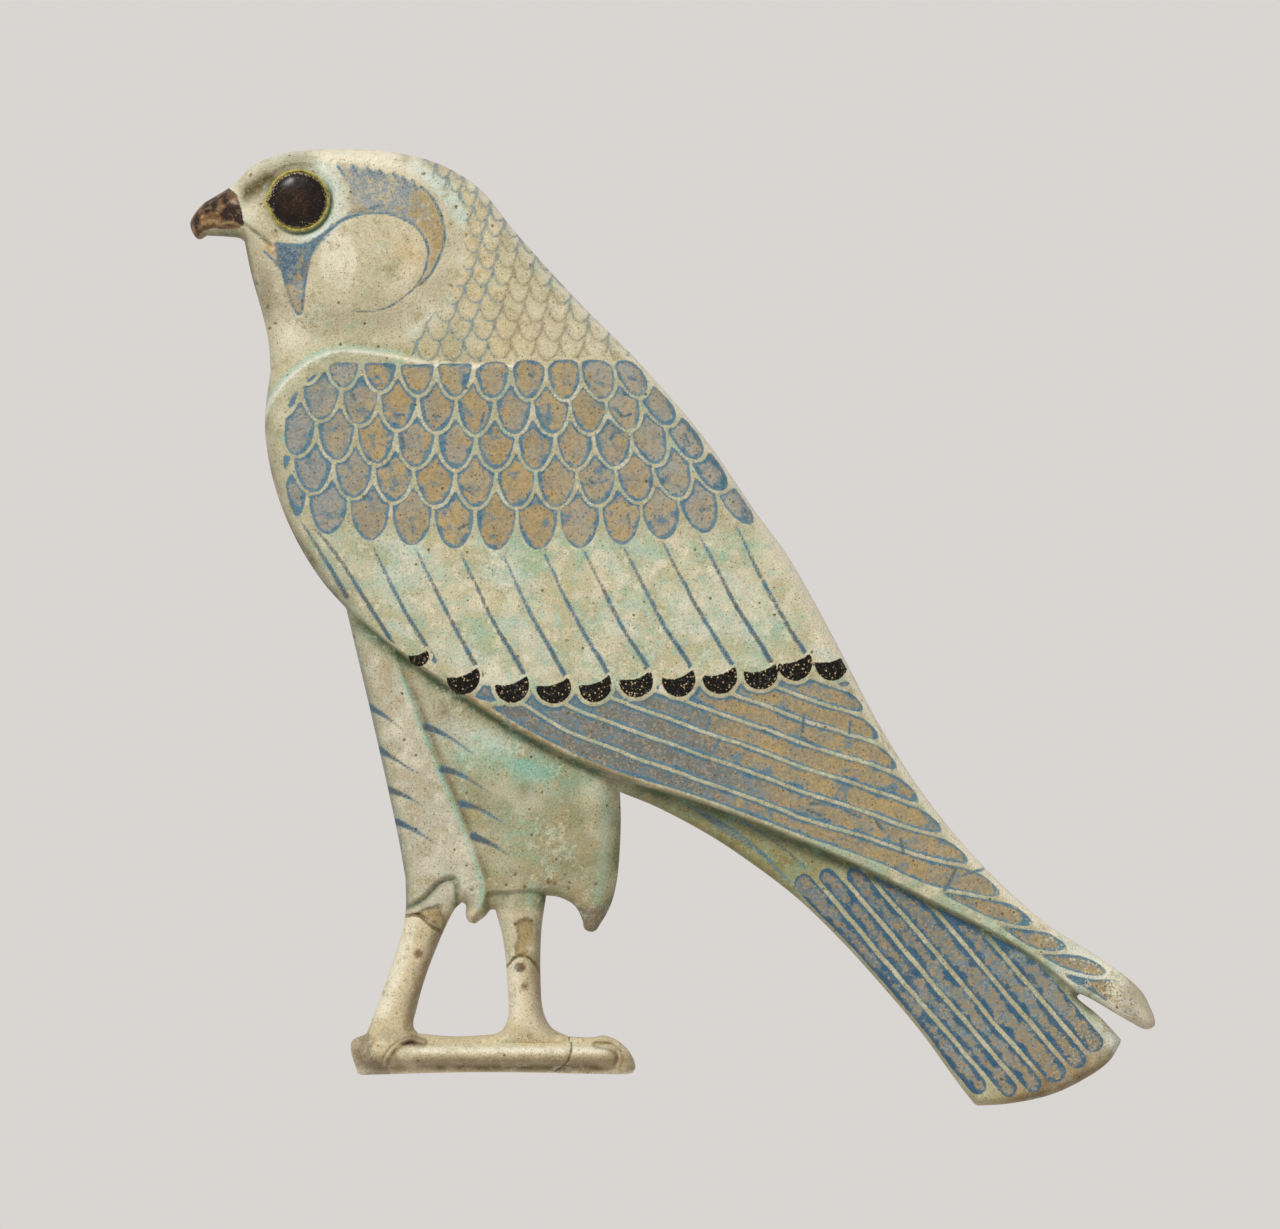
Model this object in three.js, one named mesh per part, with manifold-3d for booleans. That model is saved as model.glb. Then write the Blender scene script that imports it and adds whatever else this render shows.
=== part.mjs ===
// A flat-backed inlay figure of a standing falcon in left profile, moulded in relief, with a set-in eye.
// The flat back lies in the plane y = 0 and the relief rises towards -y. The beak points to -x and z is up.
// The origin is on the back, at the middle of the figure's width and height. All lengths are in millimetres.
import * as THREE from 'three';
import { mergeVertices } from 'three/addons/utils/BufferGeometryUtils.js';
import Module from 'manifold-3d';

const wasm = await Module();
wasm.setup();

// Overall height, from the tail's lowest corner to the crown
const height = 158;

// Thickness of each part of the bird, measured from the flat back
const wingDepth = 11.4;
const wingTipDepth = 7.8;
const neckDepth = 9;
const headDepth = 11.3;
const beakDepth = 7.8;
const foreThighDepth = 8.7;
const hindThighDepth = 8;
const trouserDepth = 7.4;
const legDepth = 6.5;
const toeDepth = 6.7;
const footDepth = 4.7;
const tailRootDepth = 5;
const tailEndDepth = 6;
const brokenEndDepth = 2.6;

// Upright wall round the figure below its rounded edge, and the radius of that edge
const bodyWall = 4.2;
const lowWall = 2.8;
const bodyRound = 2.6;
const thighRound = 5;
const legRound = 2.9;
const tailRound = 1.5;

// Set-in eye, its seat and the raised rim round it
const eyeRadius = 4.7;
const eyeDome = 1.5;
const eyeSeat = 3;
const eyeClearance = 0.3;
const eyeRimRise = 0.6;
const eyeRimWidth = 0.7;

// Carved lines
const stepWidth = 0.8;
const ridgeRise = 0.35;
const ridgeWidth = 0.95;
const grooveDepth = 0.3;
const grooveWidth = 0.7;
const browDepth = 0.9;
const browWidth = 2.2;
const clawRise = 0.45;
const clawGroove = 0.4;
const mouthDepth = 0.5;
const beakLip = 0.6;

// Positions and proportions of the free form are hundredths of the height
const hundredth = height / 100;

// Facet sizes, which follow the height
const edgeFacet = height / 92;
const lineFacet = height / 74;
const fillFacet = height / 64;
// Rings of points inside the outline, as shares of the edge's radius
const ringOffsets = [0.15, 0.5, 1];
// Room kept round the points that are already set, as shares of what is being set
const ringGap = 0.8;
const fillGap = 0.62;
const fillRimGap = 0.5;
// Small unevenness of the points, which keeps four of them off one circle
const ringWaver = 0.002;
const fillWaver = 0.02;

// Outline in stretches that meet at corners, clockwise from the chin
const outline = [
  // beak
  [[-48.7, 41], [-49.6, 40.6], [-50.4, 42.2], [-49.1, 44.2], [-47.7, 45.1], [-46.7, 45.7]],
  // crown, nape, back and the wing's rear edge
  [
    [-46.7, 45.7], [-45.6, 46.5], [-44.1, 48.1], [-40.8, 49.5], [-35, 50], [-29.3, 49.7],
    [-24.3, 48.4], [-20.1, 45.8], [-16.5, 41.4], [-9.7, 33.9], [-3.4, 27.6], [3.4, 19.7],
    [8.8, 11.9], [12.1, 7.4], [16.7, -0.8], [21.8, -10.5], [26.5, -17.8], [31.6, -24],
    [38.6, -30.6], [45.8, -35.3], [49, -38], [50.3, -40.5],
  ],
  // wing tip
  [[50.3, -40.5], [50.4, -41.6], [49.5, -42], [47.8, -41.2], [43.7, -38.8], [42.6, -38.3]],
  // notch between wing tip and tail
  [[42.6, -38.3], [42.3, -38.6], [44.6, -40.6], [47, -43.2]],
  // tail end
  [[47, -43.2], [45.6, -45.4], [42.9, -47.3], [39.4, -48.9], [35, -49.8], [31.7, -50]],
  // underside of the tail
  [
    [31.7, -50], [29.9, -47.7], [25.9, -42.2], [20.8, -36.2], [17.3, -32.4], [12.8, -28.1],
    [8.2, -24.6], [4, -21.8], [-1.6, -18.8], [-5.5, -17.2],
  ],
  // rear of the thigh and its broken spur
  [
    [-5.5, -17.2], [-5.4, -20.4], [-5.8, -26.4], [-6.5, -29.1], [-7.5, -30.9], [-8.2, -31.8],
    [-9.2, -31.5], [-9.4, -30.6], [-10.2, -29.1], [-11.8, -28.2], [-13.2, -28],
  ],
  // rear side of the hind leg
  [[-13.2, -28], [-13.7, -31.6], [-13.8, -36.8], [-13.5, -40.2], [-12.6, -41.9], [-10.9, -42.8]],
  // toes and rear claw
  [[-10.9, -42.8], [-8.4, -42.9], [-7.2, -42.7], [-5.5, -43.4], [-4.2, -44.9], [-3.9, -46.3], [-4.5, -46.7]],
  // sole
  [[-4.5, -46.7], [-20.4, -46.5], [-32.9, -46.8]],
  // broken front end of the foot
  [[-32.9, -46.8], [-33.6, -43.4], [-32, -42.5]],
  // front of the fore leg
  [[-32, -42.5], [-31, -39.9], [-28.5, -32.7], [-27.9, -29.7], [-27.9, -26.2]],
  // front of the thigh
  [[-27.9, -26.2], [-28.6, -22.2], [-31.3, -9.9], [-34.1, 2]],
  // front of the wing
  [[-34.1, 2], [-36.5, 4.7], [-38.9, 8.4], [-40.8, 12.5], [-42.1, 17], [-42.6, 21.6], [-42, 26.9]],
  // breast
  [[-42, 26.9], [-42.3, 30.4], [-44.1, 37.3], [-44.7, 40.3]],
  // throat
  [[-44.7, 40.3], [-45.2, 40.7], [-46.6, 40.9], [-48.7, 41]],
];

// Opening between the legs and the foot
const opening = [
  [[-26.6, -42.5], [-27.1, -41.8], [-26.7, -39.6], [-25.5, -35.6], [-22.8, -29.5], [-22, -28.7]],
  [[-22, -28.7], [-21.6, -29], [-21.6, -30.2], [-21, -31.2]],
  [[-21, -31.2], [-19.6, -30.2], [-19, -29.5], [-18.5, -29.5]],
  [[-18.5, -29.5], [-17.7, -32.7], [-17.2, -38], [-17.2, -40.8], [-17.8, -42.1], [-18.7, -42.6]],
  [[-18.7, -42.6], [-22.6, -42.8], [-26.6, -42.5]],
];

// Lines along which one part of the relief steps down to the next
const shoulder = [
  [-43.6, 19.6], [-42.4, 23], [-40.9, 25.3], [-38.1, 27.8], [-35, 29], [-31.8, 28.9],
  [-27.7, 28.2], [-24.6, 27.5], [-13.8, 27.3],
];
const wingEdge = [
  [-40, 9], [-33.9, 2.2], [-29.2, -2], [-23.4, -6.1], [-15.1, -11.3], [-6.8, -15.2],
  [4.1, -18.7], [17.7, -24.1], [25.9, -28.1], [36.4, -33.6], [43.7, -39.3],
];
const legRidge = [[-30, 1], [-27.5, -6.5], [-22.9, -18.1], [-20.8, -23.5], [-19.7, -27.2], [-20.6, -31.1]];
const foreHem = [[-28.8, -29.2], [-26.4, -28.3], [-24.4, -26.4], [-22.8, -26], [-22.3, -26.7], [-22.2, -28.9]];
const hindHem = [[-19.4, -33], [-19.3, -27.9], [-17.5, -27.6], [-13.5, -27.6], [-12.9, -28.6], [-12.8, -33]];

// Head: centre and half-axes of the raised skull, the hollow of the brow and the lines of the beak
const skullCentre = [-33.7, 41.9];
const skullReach = [11.2, 10.6];
const eyeCentre = [-39.1, 44.7];
const brow = [[-44.5, 45.7], [-42.9, 46.6], [-41, 47.6], [-38.9, 48.4], [-36.3, 48.4]];
const mandible = [[-49.3, 41.6], [-47.3, 41.8], [-44.5, 42.1]];
const mouth = [[-44.8, 42.1], [-43.3, 41], [-41.8, 39.8]];

// Where one form passes into the next: from and to, in hundredths of the height
const headToBeak = [-44.5, -50];
const billRoot = [-44.2, -45.2];
const neckToWing = [-31, -15];
const foreThighTaper = [-10, -30];
const hindThighTaper = [-12, -30];
const hemLevel = -33;
const legTop = [-29.5, -31];
const legRear = -12;
const ankle = [-43.3, -41.6];
const ankleEdge = [-43.5, -41.5];
const toeTop = [-43.9, -43.4];
const brokenEnd = [-31.2, -33.6];
const brokenEndTop = [-41.5, -42.5];
const thighRear = [-8.6, -5.6];
const thighRearEdge = [-6.4, -5.4];
const thighEdgeGrows = [-15, -9];
const tailFront = [-5.6, -5];
// Shares of the skull's reach, and of the wing's length
const skullEdge = [0.72, 1.16];
const wingThins = [0.35, 1];

// Direction and reach of the wing, from the shoulder to the tip
const wingStart = [-40, 22];
const wingAxis = [0.82, -0.57];
const wingReach = 109;
const wingFallShare = 0.1;

// Toes: height of their middle line and half their width
const toeMiddle = -44.5;
const toeHalf = 1.45;
const frontClaw = [[-26.1, -43.3], [-27.4, -43], [-29.3, -44.2], [-30.1, -45.7]];
const rearClaw = [[-7.9, -43.5], [-6.2, -43.8], [-5.4, -44.8], [-5.7, -45.7]];

// Long feathers of the wing: the ridges are copies of one line, each set higher than the last
const lowestRidge = [[-15.6, -7.9], [-5.5, -12.9], [3.9, -16.2], [13.3, -19.7], [22.7, -22.7], [33, -25.6], [46, -28.3]];
const ridgesBelow = 4;
const ridgesAbove = 6;
const ridgePitch = 2.7;
const pitchLoss = 0.038;
const tipPitchLoss = 0.02;
const featherTipLine = [[-27.3, -3], [-21.6, -7.6], [-16.5, -8], [-8, -8], [2, -7.2], [9.3, -6.3], [17.5, -4.9]];
const lowestRidgeSpan = [-16, 48];
const tipPitchFrom = 29;
const ridgeLip = 1.6;

// Middle feathers: straight grooves at even steps, leaning down to the rear
const middleGrooves = 11;
const firstGroove = [-35.8, 8.5];
const lastGroove = [7.5, 8.7];
const grooveRun = [7.2, -12.1];

// Tail: ridges along the axis of the tail
const tailAxis = [0.652, -0.759];
const tailMiddle = [18.5, -25.1];
const tailRidges = [-3.5, -1.3, 0.95, 3.8, 6.25];
const tailRidgeStart = -0.5;
const tailRidgeEnd = 28.3;
const tailThickens = [-25, 30];

const { clamp, lerp } = THREE.MathUtils;

// Rises from 0 to 1 as a value goes from the first number of a span to the second
function across([from, to], value) {
  const share = clamp((value - from) / (to - from), 0, 1);
  return share * share * (3 - 2 * share);
}

// The same over the width of a step in the relief
function overStep(offset) {
  return across([-stepWidth / 2, stepWidth / 2], offset);
}

// A quarter round: 0 at the wall, 1 at the full radius and beyond
function quarter(share) {
  return Math.sqrt(1 - (1 - clamp(share, 0, 1)) ** 2);
}

// A soft bead of the given half-width
function bead(offset, halfWidth) {
  return Math.exp(-((offset / halfWidth) ** 2));
}

function place([x, z]) {
  return new THREE.Vector2(x * hundredth, z * hundredth);
}

// A smooth line through points given in hundredths of the height, at even steps
function trace(points, step) {
  const knots = points.map(place).map((p) => new THREE.Vector3(p.x, p.y, 0));
  const path = new THREE.CatmullRomCurve3(knots, false, 'centripetal');
  const count = Math.max(1, Math.round(path.getLength() / step));
  return path.getSpacedPoints(count).map((p) => new THREE.Vector2(p.x, p.y));
}

function traceLoop(stretches, step) {
  return stretches.flatMap((points) => trace(points, step).slice(0, -1));
}

// Distance from a point to a line, positive on the left of the line's run
function offsetFrom(line, point, closed = false) {
  let nearest = Infinity;
  let side = 1;
  const last = closed ? line.length : line.length - 1;
  for (let i = 0; i < last; i += 1) {
    const start = line[i];
    const end = line[(i + 1) % line.length];
    const runX = end.x - start.x;
    const runY = end.y - start.y;
    const toX = point.x - start.x;
    const toY = point.y - start.y;
    const share = clamp((toX * runX + toY * runY) / (runX * runX + runY * runY), 0, 1);
    const gap = Math.hypot(toX - share * runX, toY - share * runY);
    if (gap < nearest) {
      nearest = gap;
      side = Math.sign(runX * toY - runY * toX) || 1;
    }
  }
  return nearest * side;
}

function isInside(loop, point) {
  let odd = false;
  for (let i = 0, j = loop.length - 1; i < loop.length; j = i, i += 1) {
    const a = loop[i];
    const b = loop[j];
    if (a.y > point.y !== b.y > point.y) {
      const crossing = a.x + ((b.x - a.x) * (point.y - a.y)) / (b.y - a.y);
      if (point.x < crossing) odd = !odd;
    }
  }
  return odd;
}

const edge = traceLoop(outline, edgeFacet);
const openingEdge = traceLoop(opening, edgeFacet);
const lines = {
  shoulder: trace(shoulder, lineFacet),
  wingEdge: trace(wingEdge, lineFacet),
  legRidge: trace(legRidge, lineFacet),
  foreHem: trace(foreHem, lineFacet),
  hindHem: trace(hindHem, lineFacet),
  brow: trace(brow, lineFacet),
  mandible: trace(mandible, lineFacet),
  mouth: trace(mouth, lineFacet),
  frontClaw: trace(frontClaw, lineFacet),
  rearClaw: trace(rearClaw, lineFacet),
  lowestRidge: trace(lowestRidge, lineFacet),
  featherTips: trace(featherTipLine, lineFacet),
};
const eye = place(eyeCentre);
const onFigure = (point) => isInside(edge, point) && !isInside(openingEdge, point);
const rimDistance = (point) => Math.min(
  Math.abs(offsetFrom(edge, point, true)),
  Math.abs(offsetFrom(openingEdge, point, true)),
);

// Height of the smooth forms, without the carved lines
function form(point) {
  const x = point.x / hundredth;
  const z = point.y / hundredth;
  const rim = rimDistance(point);
  const aboveWingEdge = offsetFrom(lines.wingEdge, point);
  const belowShoulder = -offsetFrom(lines.shoulder, point);
  const onForeThigh = -offsetFrom(lines.legRidge, point);
  const aboveForeHem = offsetFrom(lines.foreHem, point);
  const aboveHindHem = offsetFrom(lines.hindHem, point);

  // wing, thinning towards its tip and falling a little to its edges
  const alongWing = ((x - wingStart[0]) * wingAxis[0] + (z - wingStart[1]) * wingAxis[1]) / wingReach;
  const inFromEdge = Math.min(rim, Math.max(aboveWingEdge, 0)) / wingDepth;
  const wingFall = wingDepth * wingFallShare * (1 - quarter(inFromEdge));
  const wing = lerp(wingDepth, wingTipDepth, across(wingThins, alongWing)) - wingFall;

  // neck and skull
  const skull = Math.hypot((x - skullCentre[0]) / skullReach[0], (z - skullCentre[1]) / skullReach[1]);
  const nape = lerp(neckDepth, wing, across(neckToWing, x));
  const head = nape + (headDepth - neckDepth) * (1 - across(skullEdge, skull));
  const bill = lerp(head, beakDepth, across(headToBeak, x));
  const upper = lerp(bill, wing, overStep(belowShoulder));

  // thighs, legs and foot
  const foreThigh = lerp(foreThighDepth, trouserDepth, across(foreThighTaper, z));
  const hindThigh = lerp(hindThighDepth, trouserDepth, across(hindThighTaper, z));
  const acrossToes = clamp((z - toeMiddle) / toeHalf, -1, 1);
  const toes = footDepth + (toeDepth - footDepth) * Math.sqrt(1 - acrossToes ** 2);
  const ledge = lerp(toes, (footDepth + toeDepth) / 2, across(toeTop, z));
  const leg = lerp(ledge, legDepth, across(ankle, z));
  const foreLimb = lerp(leg, foreThigh, overStep(aboveForeHem));
  const hindLimb = lerp(leg, hindThigh, overStep(aboveHindHem));
  const limbs = lerp(hindLimb, foreLimb, overStep(onForeThigh));
  const standing = z < hemLevel ? leg : limbs;
  const broken = lerp(standing, brokenEndDepth, across(brokenEnd, x) * across(brokenEndTop, z));

  // tail, behind the thigh
  const alongTail = (x - tailMiddle[0]) * tailAxis[0] + (z - tailMiddle[1]) * tailAxis[1];
  const tail = lerp(tailRootDepth, tailEndDepth, across(tailThickens, alongTail));
  const lower = lerp(tail, broken, quarter(1 - across(thighRear, x)));

  // rounded edge: tighter on the tail, wide on the thigh and full on the legs
  const underWing = 1 - overStep(aboveWingEdge);
  const onLeg = x < legRear ? across(legTop, z) : 0;
  const onTail = underWing * across(tailFront, x);
  const besideThigh = across(thighEdgeGrows, x) * (1 - across(thighRearEdge, x));
  const onThigh = z > hemLevel ? underWing * besideThigh : 0;
  const upperRound = lerp(lerp(bodyRound, thighRound, onThigh), tailRound, onTail);
  const round = lerp(upperRound, legRound, onLeg * across(ankleEdge, z));
  const top = lerp(lower, upper, overStep(aboveWingEdge));
  const wall = Math.min(top, lerp(bodyWall, lowWall, Math.max(onTail, onLeg)));
  return wall + (top - wall) * quarter(rim / round);
}

// The ridges of the long feathers: number 0 is the lowest that starts at the black tips
function wingRidgeHeight(number, x) {
  const alongRidge = lines.lowestRidge;
  const at = x * hundredth;
  let low = 0;
  while (low < alongRidge.length - 2 && alongRidge[low + 1].x < at) low += 1;
  const start = alongRidge[low];
  const end = alongRidge[low + 1];
  const base = lerp(start.y, end.y, (at - start.x) / (end.x - start.x)) / hundredth;
  const loss = number > 0 ? pitchLoss * number : tipPitchLoss * Math.max(0, x - tipPitchFrom);
  return base + number * (ridgePitch - loss);
}

// A ridge stops at the rounded edge, but near the wing's tip it runs onto it
function wingRidge(number) {
  const points = [];
  const lip = ridgeWidth * ridgeLip;
  const rimRoom = number < 0 ? lip : bodyRound + ridgeWidth / 2;
  for (let x = lowestRidgeSpan[0]; x < lowestRidgeSpan[1]; x += lineFacet / hundredth) {
    const point = place([x, wingRidgeHeight(number, x)]);
    const clearOfTips = -offsetFrom(lines.featherTips, point);
    const clearOfEdge = offsetFrom(lines.wingEdge, point);
    const clearOfRim = rimDistance(point);
    const clear = clearOfTips > ridgeWidth && clearOfEdge > lip && clearOfRim > rimRoom;
    if (onFigure(point) && clear) points.push(point);
  }
  return points;
}

function straight(start, end, step) {
  const from = place(start);
  const to = place(end);
  const count = Math.round(from.distanceTo(to) / step);
  return Array.from({ length: count + 1 }, (unused, i) => from.clone().lerp(to, i / count));
}

function middleGroove(number) {
  const share = number / (middleGrooves - 1);
  const start = [lerp(firstGroove[0], lastGroove[0], share), lerp(firstGroove[1], lastGroove[1], share)];
  return straight(start, [start[0] + grooveRun[0], start[1] + grooveRun[1]], lineFacet);
}

function tailRidge(offset) {
  const at = (along) => [
    tailMiddle[0] + tailAxis[0] * along - tailAxis[1] * offset,
    tailMiddle[1] + tailAxis[1] * along + tailAxis[0] * offset,
  ];
  const clear = (point) => offsetFrom(lines.wingEdge, point) < -ridgeWidth && rimDistance(point) > ridgeWidth;
  return straight(at(tailRidgeStart), at(tailRidgeEnd), lineFacet).filter((point) => onFigure(point) && clear(point));
}

// Carved lines: each is a run of points with a rise, negative for a groove
const carving = [];
for (let number = -ridgesBelow; number <= ridgesAbove; number += 1) {
  carving.push({ points: wingRidge(number), rise: ridgeRise, width: ridgeWidth });
}
for (let number = 0; number < middleGrooves; number += 1) {
  carving.push({ points: middleGroove(number), rise: -grooveDepth, width: grooveWidth });
}
for (const offset of tailRidges) {
  carving.push({ points: tailRidge(offset), rise: ridgeRise, width: ridgeWidth });
}
carving.push({ points: lines.brow, rise: -browDepth, width: browWidth });
carving.push({ points: lines.mouth, rise: -mouthDepth, width: grooveWidth });
carving.push({ points: lines.frontClaw, rise: clawRise, width: ridgeWidth });
carving.push({ points: lines.rearClaw, rise: -clawGroove, width: grooveWidth });
const carved = carving.filter((line) => line.points.length > 1);

function relief(point) {
  let depth = form(point);
  for (const line of carved) {
    depth += line.rise * bead(offsetFrom(line.points, point), line.width / 2);
  }
  const fromEye = point.distanceTo(eye);
  depth += eyeRimRise * bead(fromEye - eyeRadius - eyeClearance - eyeRimWidth / 2, eyeRimWidth);
  const belowBeak = -offsetFrom(lines.mandible, point);
  const onBill = across(billRoot, point.x / hundredth);
  return depth - beakLip * overStep(belowBeak) * onBill;
}

// Mesh points: edges first, then lines, then an even fill that keeps clear of both
function besideLine(points, offset) {
  return points.map((point, i) => {
    const before = points[Math.max(0, i - 1)];
    const after = points[Math.min(points.length - 1, i + 1)];
    const run = after.clone().sub(before).normalize();
    return new THREE.Vector2(point.x - run.y * offset, point.y + run.x * offset);
  });
}

function besideLoop(points, offset) {
  return points.map((point, i) => {
    const before = points[(i + points.length - 1) % points.length];
    const after = points[(i + 1) % points.length];
    const run = after.clone().sub(before).normalize();
    return new THREE.Vector2(point.x - run.y * offset, point.y + run.x * offset);
  });
}

function isClear(point, others, gap) {
  return others.every((other) => Math.abs(other.x - point.x) > gap || point.distanceTo(other) > gap);
}

function isClockwise(loop) {
  return THREE.ShapeUtils.isClockWise(loop);
}

function meshPoints() {
  const points = [...edge, ...openingEdge];
  const inward = isClockwise(edge) ? -1 : 1;
  const addClear = (candidates, gap, rim) => {
    for (const point of candidates) {
      if (onFigure(point) && rimDistance(point) > rim && isClear(point, points, gap)) points.push(point);
    }
  };
  const around = (radius, count) => Array.from({ length: count }, (unused, i) => {
    const turn = (2 * Math.PI * i) / count;
    const reach = radius * (1 + ringWaver * Math.sin(i * i));
    return new THREE.Vector2(eye.x + reach * Math.cos(turn), eye.y + reach * Math.sin(turn));
  });
  const eyeHole = eyeRadius + eyeClearance;
  const eyeSteps = Math.round((2 * Math.PI * eyeHole) / lineFacet) * 2;
  for (const radius of [eyeHole, eyeHole + eyeRimWidth / 2, eyeHole + eyeRimWidth * ridgeLip]) {
    addClear(around(radius, eyeSteps), ridgeWidth / 3, 0);
  }
  const steps = [lines.shoulder, lines.wingEdge, lines.legRidge, lines.foreHem, lines.hindHem, lines.mandible];
  for (const line of steps) {
    for (const offset of [-stepWidth / 2, stepWidth / 2]) {
      addClear(besideLine(line, offset), stepWidth / 2, stepWidth / 2);
    }
  }
  for (const line of carved) {
    for (const offset of [0, -line.width / 2, line.width / 2]) {
      addClear(besideLine(line.points, offset), line.width / 3, line.width / 2);
    }
  }
  for (const share of ringOffsets) {
    const fromEdge = share * bodyRound;
    const fromOpening = share * legRound;
    const gap = Math.min(fromEdge, edgeFacet) * ringGap;
    addClear(besideLoop(edge, inward * fromEdge), gap, fromEdge * ringGap);
    addClear(besideLoop(openingEdge, inward * fromOpening), gap, fromOpening * ringGap);
  }
  const rowStep = (fillFacet * Math.sqrt(3)) / 2;
  const rows = Math.ceil(height / rowStep);
  const waver = fillFacet * fillWaver;
  for (let row = -rows; row <= rows; row += 1) {
    const shift = (row % 2 === 0 ? 0 : fillFacet / 2) + Math.sin(row) * waver;
    const fill = [];
    for (let x = -height; x <= height; x += fillFacet) {
      fill.push(new THREE.Vector2(x + shift, row * rowStep + Math.sin(x + row) * waver));
    }
    addClear(fill, fillFacet * fillGap, fillFacet * fillRimGap);
  }
  return points;
}

// Delaunay triangles over the points, by adding one point at a time
function triangulate(points) {
  const far = height * 20;
  const corners = [new THREE.Vector2(-far, -far), new THREE.Vector2(far, -far), new THREE.Vector2(0, far)];
  const all = [...points, ...corners];
  const circle = (a, b, c) => {
    const [p, q, r] = [all[a], all[b], all[c]];
    const twice = 2 * (p.x * (q.y - r.y) + q.x * (r.y - p.y) + r.x * (p.y - q.y));
    const [pp, qq, rr] = [p.lengthSq(), q.lengthSq(), r.lengthSq()];
    const x = (pp * (q.y - r.y) + qq * (r.y - p.y) + rr * (p.y - q.y)) / twice;
    const y = (pp * (r.x - q.x) + qq * (p.x - r.x) + rr * (q.x - p.x)) / twice;
    return { corners: [a, b, c], x, y, reach: (p.x - x) ** 2 + (p.y - y) ** 2 };
  };
  let open = [circle(points.length, points.length + 1, points.length + 2)];
  const done = [];
  const order = points.map((unused, i) => i).sort((i, j) => points[i].x - points[j].x);
  for (const index of order) {
    const point = points[index];
    const border = new Map();
    const kept = [];
    for (const triangle of open) {
      const aside = point.x - triangle.x;
      if (aside > 0 && aside * aside > triangle.reach) {
        done.push(triangle);
        continue;
      }
      if (aside * aside + (point.y - triangle.y) ** 2 > triangle.reach) {
        kept.push(triangle);
        continue;
      }
      const [a, b, c] = triangle.corners;
      for (const [from, to] of [[a, b], [b, c], [c, a]]) {
        const back = `${to} ${from}`;
        if (border.has(back)) border.delete(back);
        else border.set(`${from} ${to}`, [from, to]);
      }
    }
    for (const [from, to] of border.values()) kept.push(circle(from, to, index));
    open = kept;
  }
  return [...done, ...open].map((t) => t.corners).filter((t) => t.every((i) => i < points.length));
}

// The body: front relief, wall and flat back as one closed mesh
function bodyGeometry() {
  const points = meshPoints();
  const border = edge.length + openingEdge.length;
  const front = triangulate(points).filter(([a, b, c]) => {
    const middle = points[a].clone().add(points[b]).add(points[c]).divideScalar(3);
    return onFigure(middle);
  });
  const turned = front.map(([a, b, c]) => {
    const area = (points[b].x - points[a].x) * (points[c].y - points[a].y)
      - (points[b].y - points[a].y) * (points[c].x - points[a].x);
    return area > 0 ? [a, b, c] : [a, c, b];
  });
  const vertices = points.map((point) => [point.x, -relief(point), point.y]);
  for (let i = 0; i < border; i += 1) vertices.push([points[i].x, 0, points[i].y]);
  const onBack = (i) => points.length + i;
  const faces = [...turned];
  const borderEdges = new Map();
  for (const [a, b, c] of turned) {
    for (const [from, to] of [[a, b], [b, c], [c, a]]) {
      if (borderEdges.has(`${to} ${from}`)) borderEdges.delete(`${to} ${from}`);
      else borderEdges.set(`${from} ${to}`, [from, to]);
    }
  }
  for (const [from, to] of borderEdges.values()) {
    faces.push([from, onBack(from), onBack(to)], [from, onBack(to), to]);
  }
  const backPoints = points.slice(0, border);
  const backFaces = THREE.ShapeUtils.triangulateShape(edge, [openingEdge]);
  for (const [a, b, c] of backFaces) {
    const area = (backPoints[b].x - backPoints[a].x) * (backPoints[c].y - backPoints[a].y)
      - (backPoints[b].y - backPoints[a].y) * (backPoints[c].x - backPoints[a].x);
    faces.push(area > 0 ? [onBack(a), onBack(c), onBack(b)] : [onBack(a), onBack(b), onBack(c)]);
  }
  const geometry = new THREE.BufferGeometry();
  geometry.setAttribute('position', new THREE.Float32BufferAttribute(vertices.flat(), 3));
  geometry.setIndex(faces.flat());
  return geometry;
}

function solidOf(geometry) {
  const bare = geometry.clone();
  bare.deleteAttribute('normal');
  bare.deleteAttribute('uv');
  const merged = mergeVertices(bare, 1e-5);
  return new wasm.Manifold(new wasm.Mesh({
    numProp: 3,
    vertProperties: new Float32Array(merged.attributes.position.array),
    triVerts: new Uint32Array(merged.index.array),
  }));
}

function geometryOf(solid) {
  const mesh = solid.getMesh();
  const geometry = new THREE.BufferGeometry();
  geometry.setAttribute('position', new THREE.BufferAttribute(mesh.vertProperties, 3));
  geometry.setIndex(new THREE.BufferAttribute(mesh.triVerts, 1));
  geometry.computeVertexNormals();
  return geometry;
}

// A turned piece whose axis points out of the relief
function turned(profile, sides) {
  const geometry = new THREE.LatheGeometry(profile.map(([r, y]) => new THREE.Vector2(r, y)), sides);
  return geometry.rotateX(Math.PI);
}

const eyeSides = 32;
const eyeFace = form(eye);
const seatFloor = eyeFace - eyeSeat;

function eyeSocket() {
  const radius = eyeRadius + eyeClearance;
  const above = eyeFace + eyeDome + eyeRimRise;
  const profile = [[0, seatFloor], [radius, seatFloor], [radius, above], [0, above]];
  return turned(profile, eyeSides).translate(eye.x, 0, eye.y);
}

function eyeGeometry() {
  const domeSteps = 5;
  const profile = [[0, seatFloor + eyeClearance]];
  for (let i = 0; i <= domeSteps; i += 1) {
    const turn = (Math.PI / 2) * (i / domeSteps);
    profile.push([eyeRadius * Math.cos(turn), eyeFace + eyeDome * Math.sin(turn)]);
  }
  profile.splice(1, 0, [eyeRadius, seatFloor + eyeClearance]);
  profile[profile.length - 1][0] = 0;
  return turned(profile, eyeSides);
}

const paste = new THREE.MeshStandardMaterial({ color: 0xc6bd93, roughness: 0.5, metalness: 0 });
const darkGlass = new THREE.MeshStandardMaterial({ color: 0x2a1a12, roughness: 0.25, metalness: 0 });

const falcon = new THREE.Group();

const body = solidOf(bodyGeometry()).subtract(solidOf(eyeSocket()));
const bodyMesh = new THREE.Mesh(geometryOf(body), paste);
bodyMesh.name = 'falcon_body';
falcon.add(bodyMesh);

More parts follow.
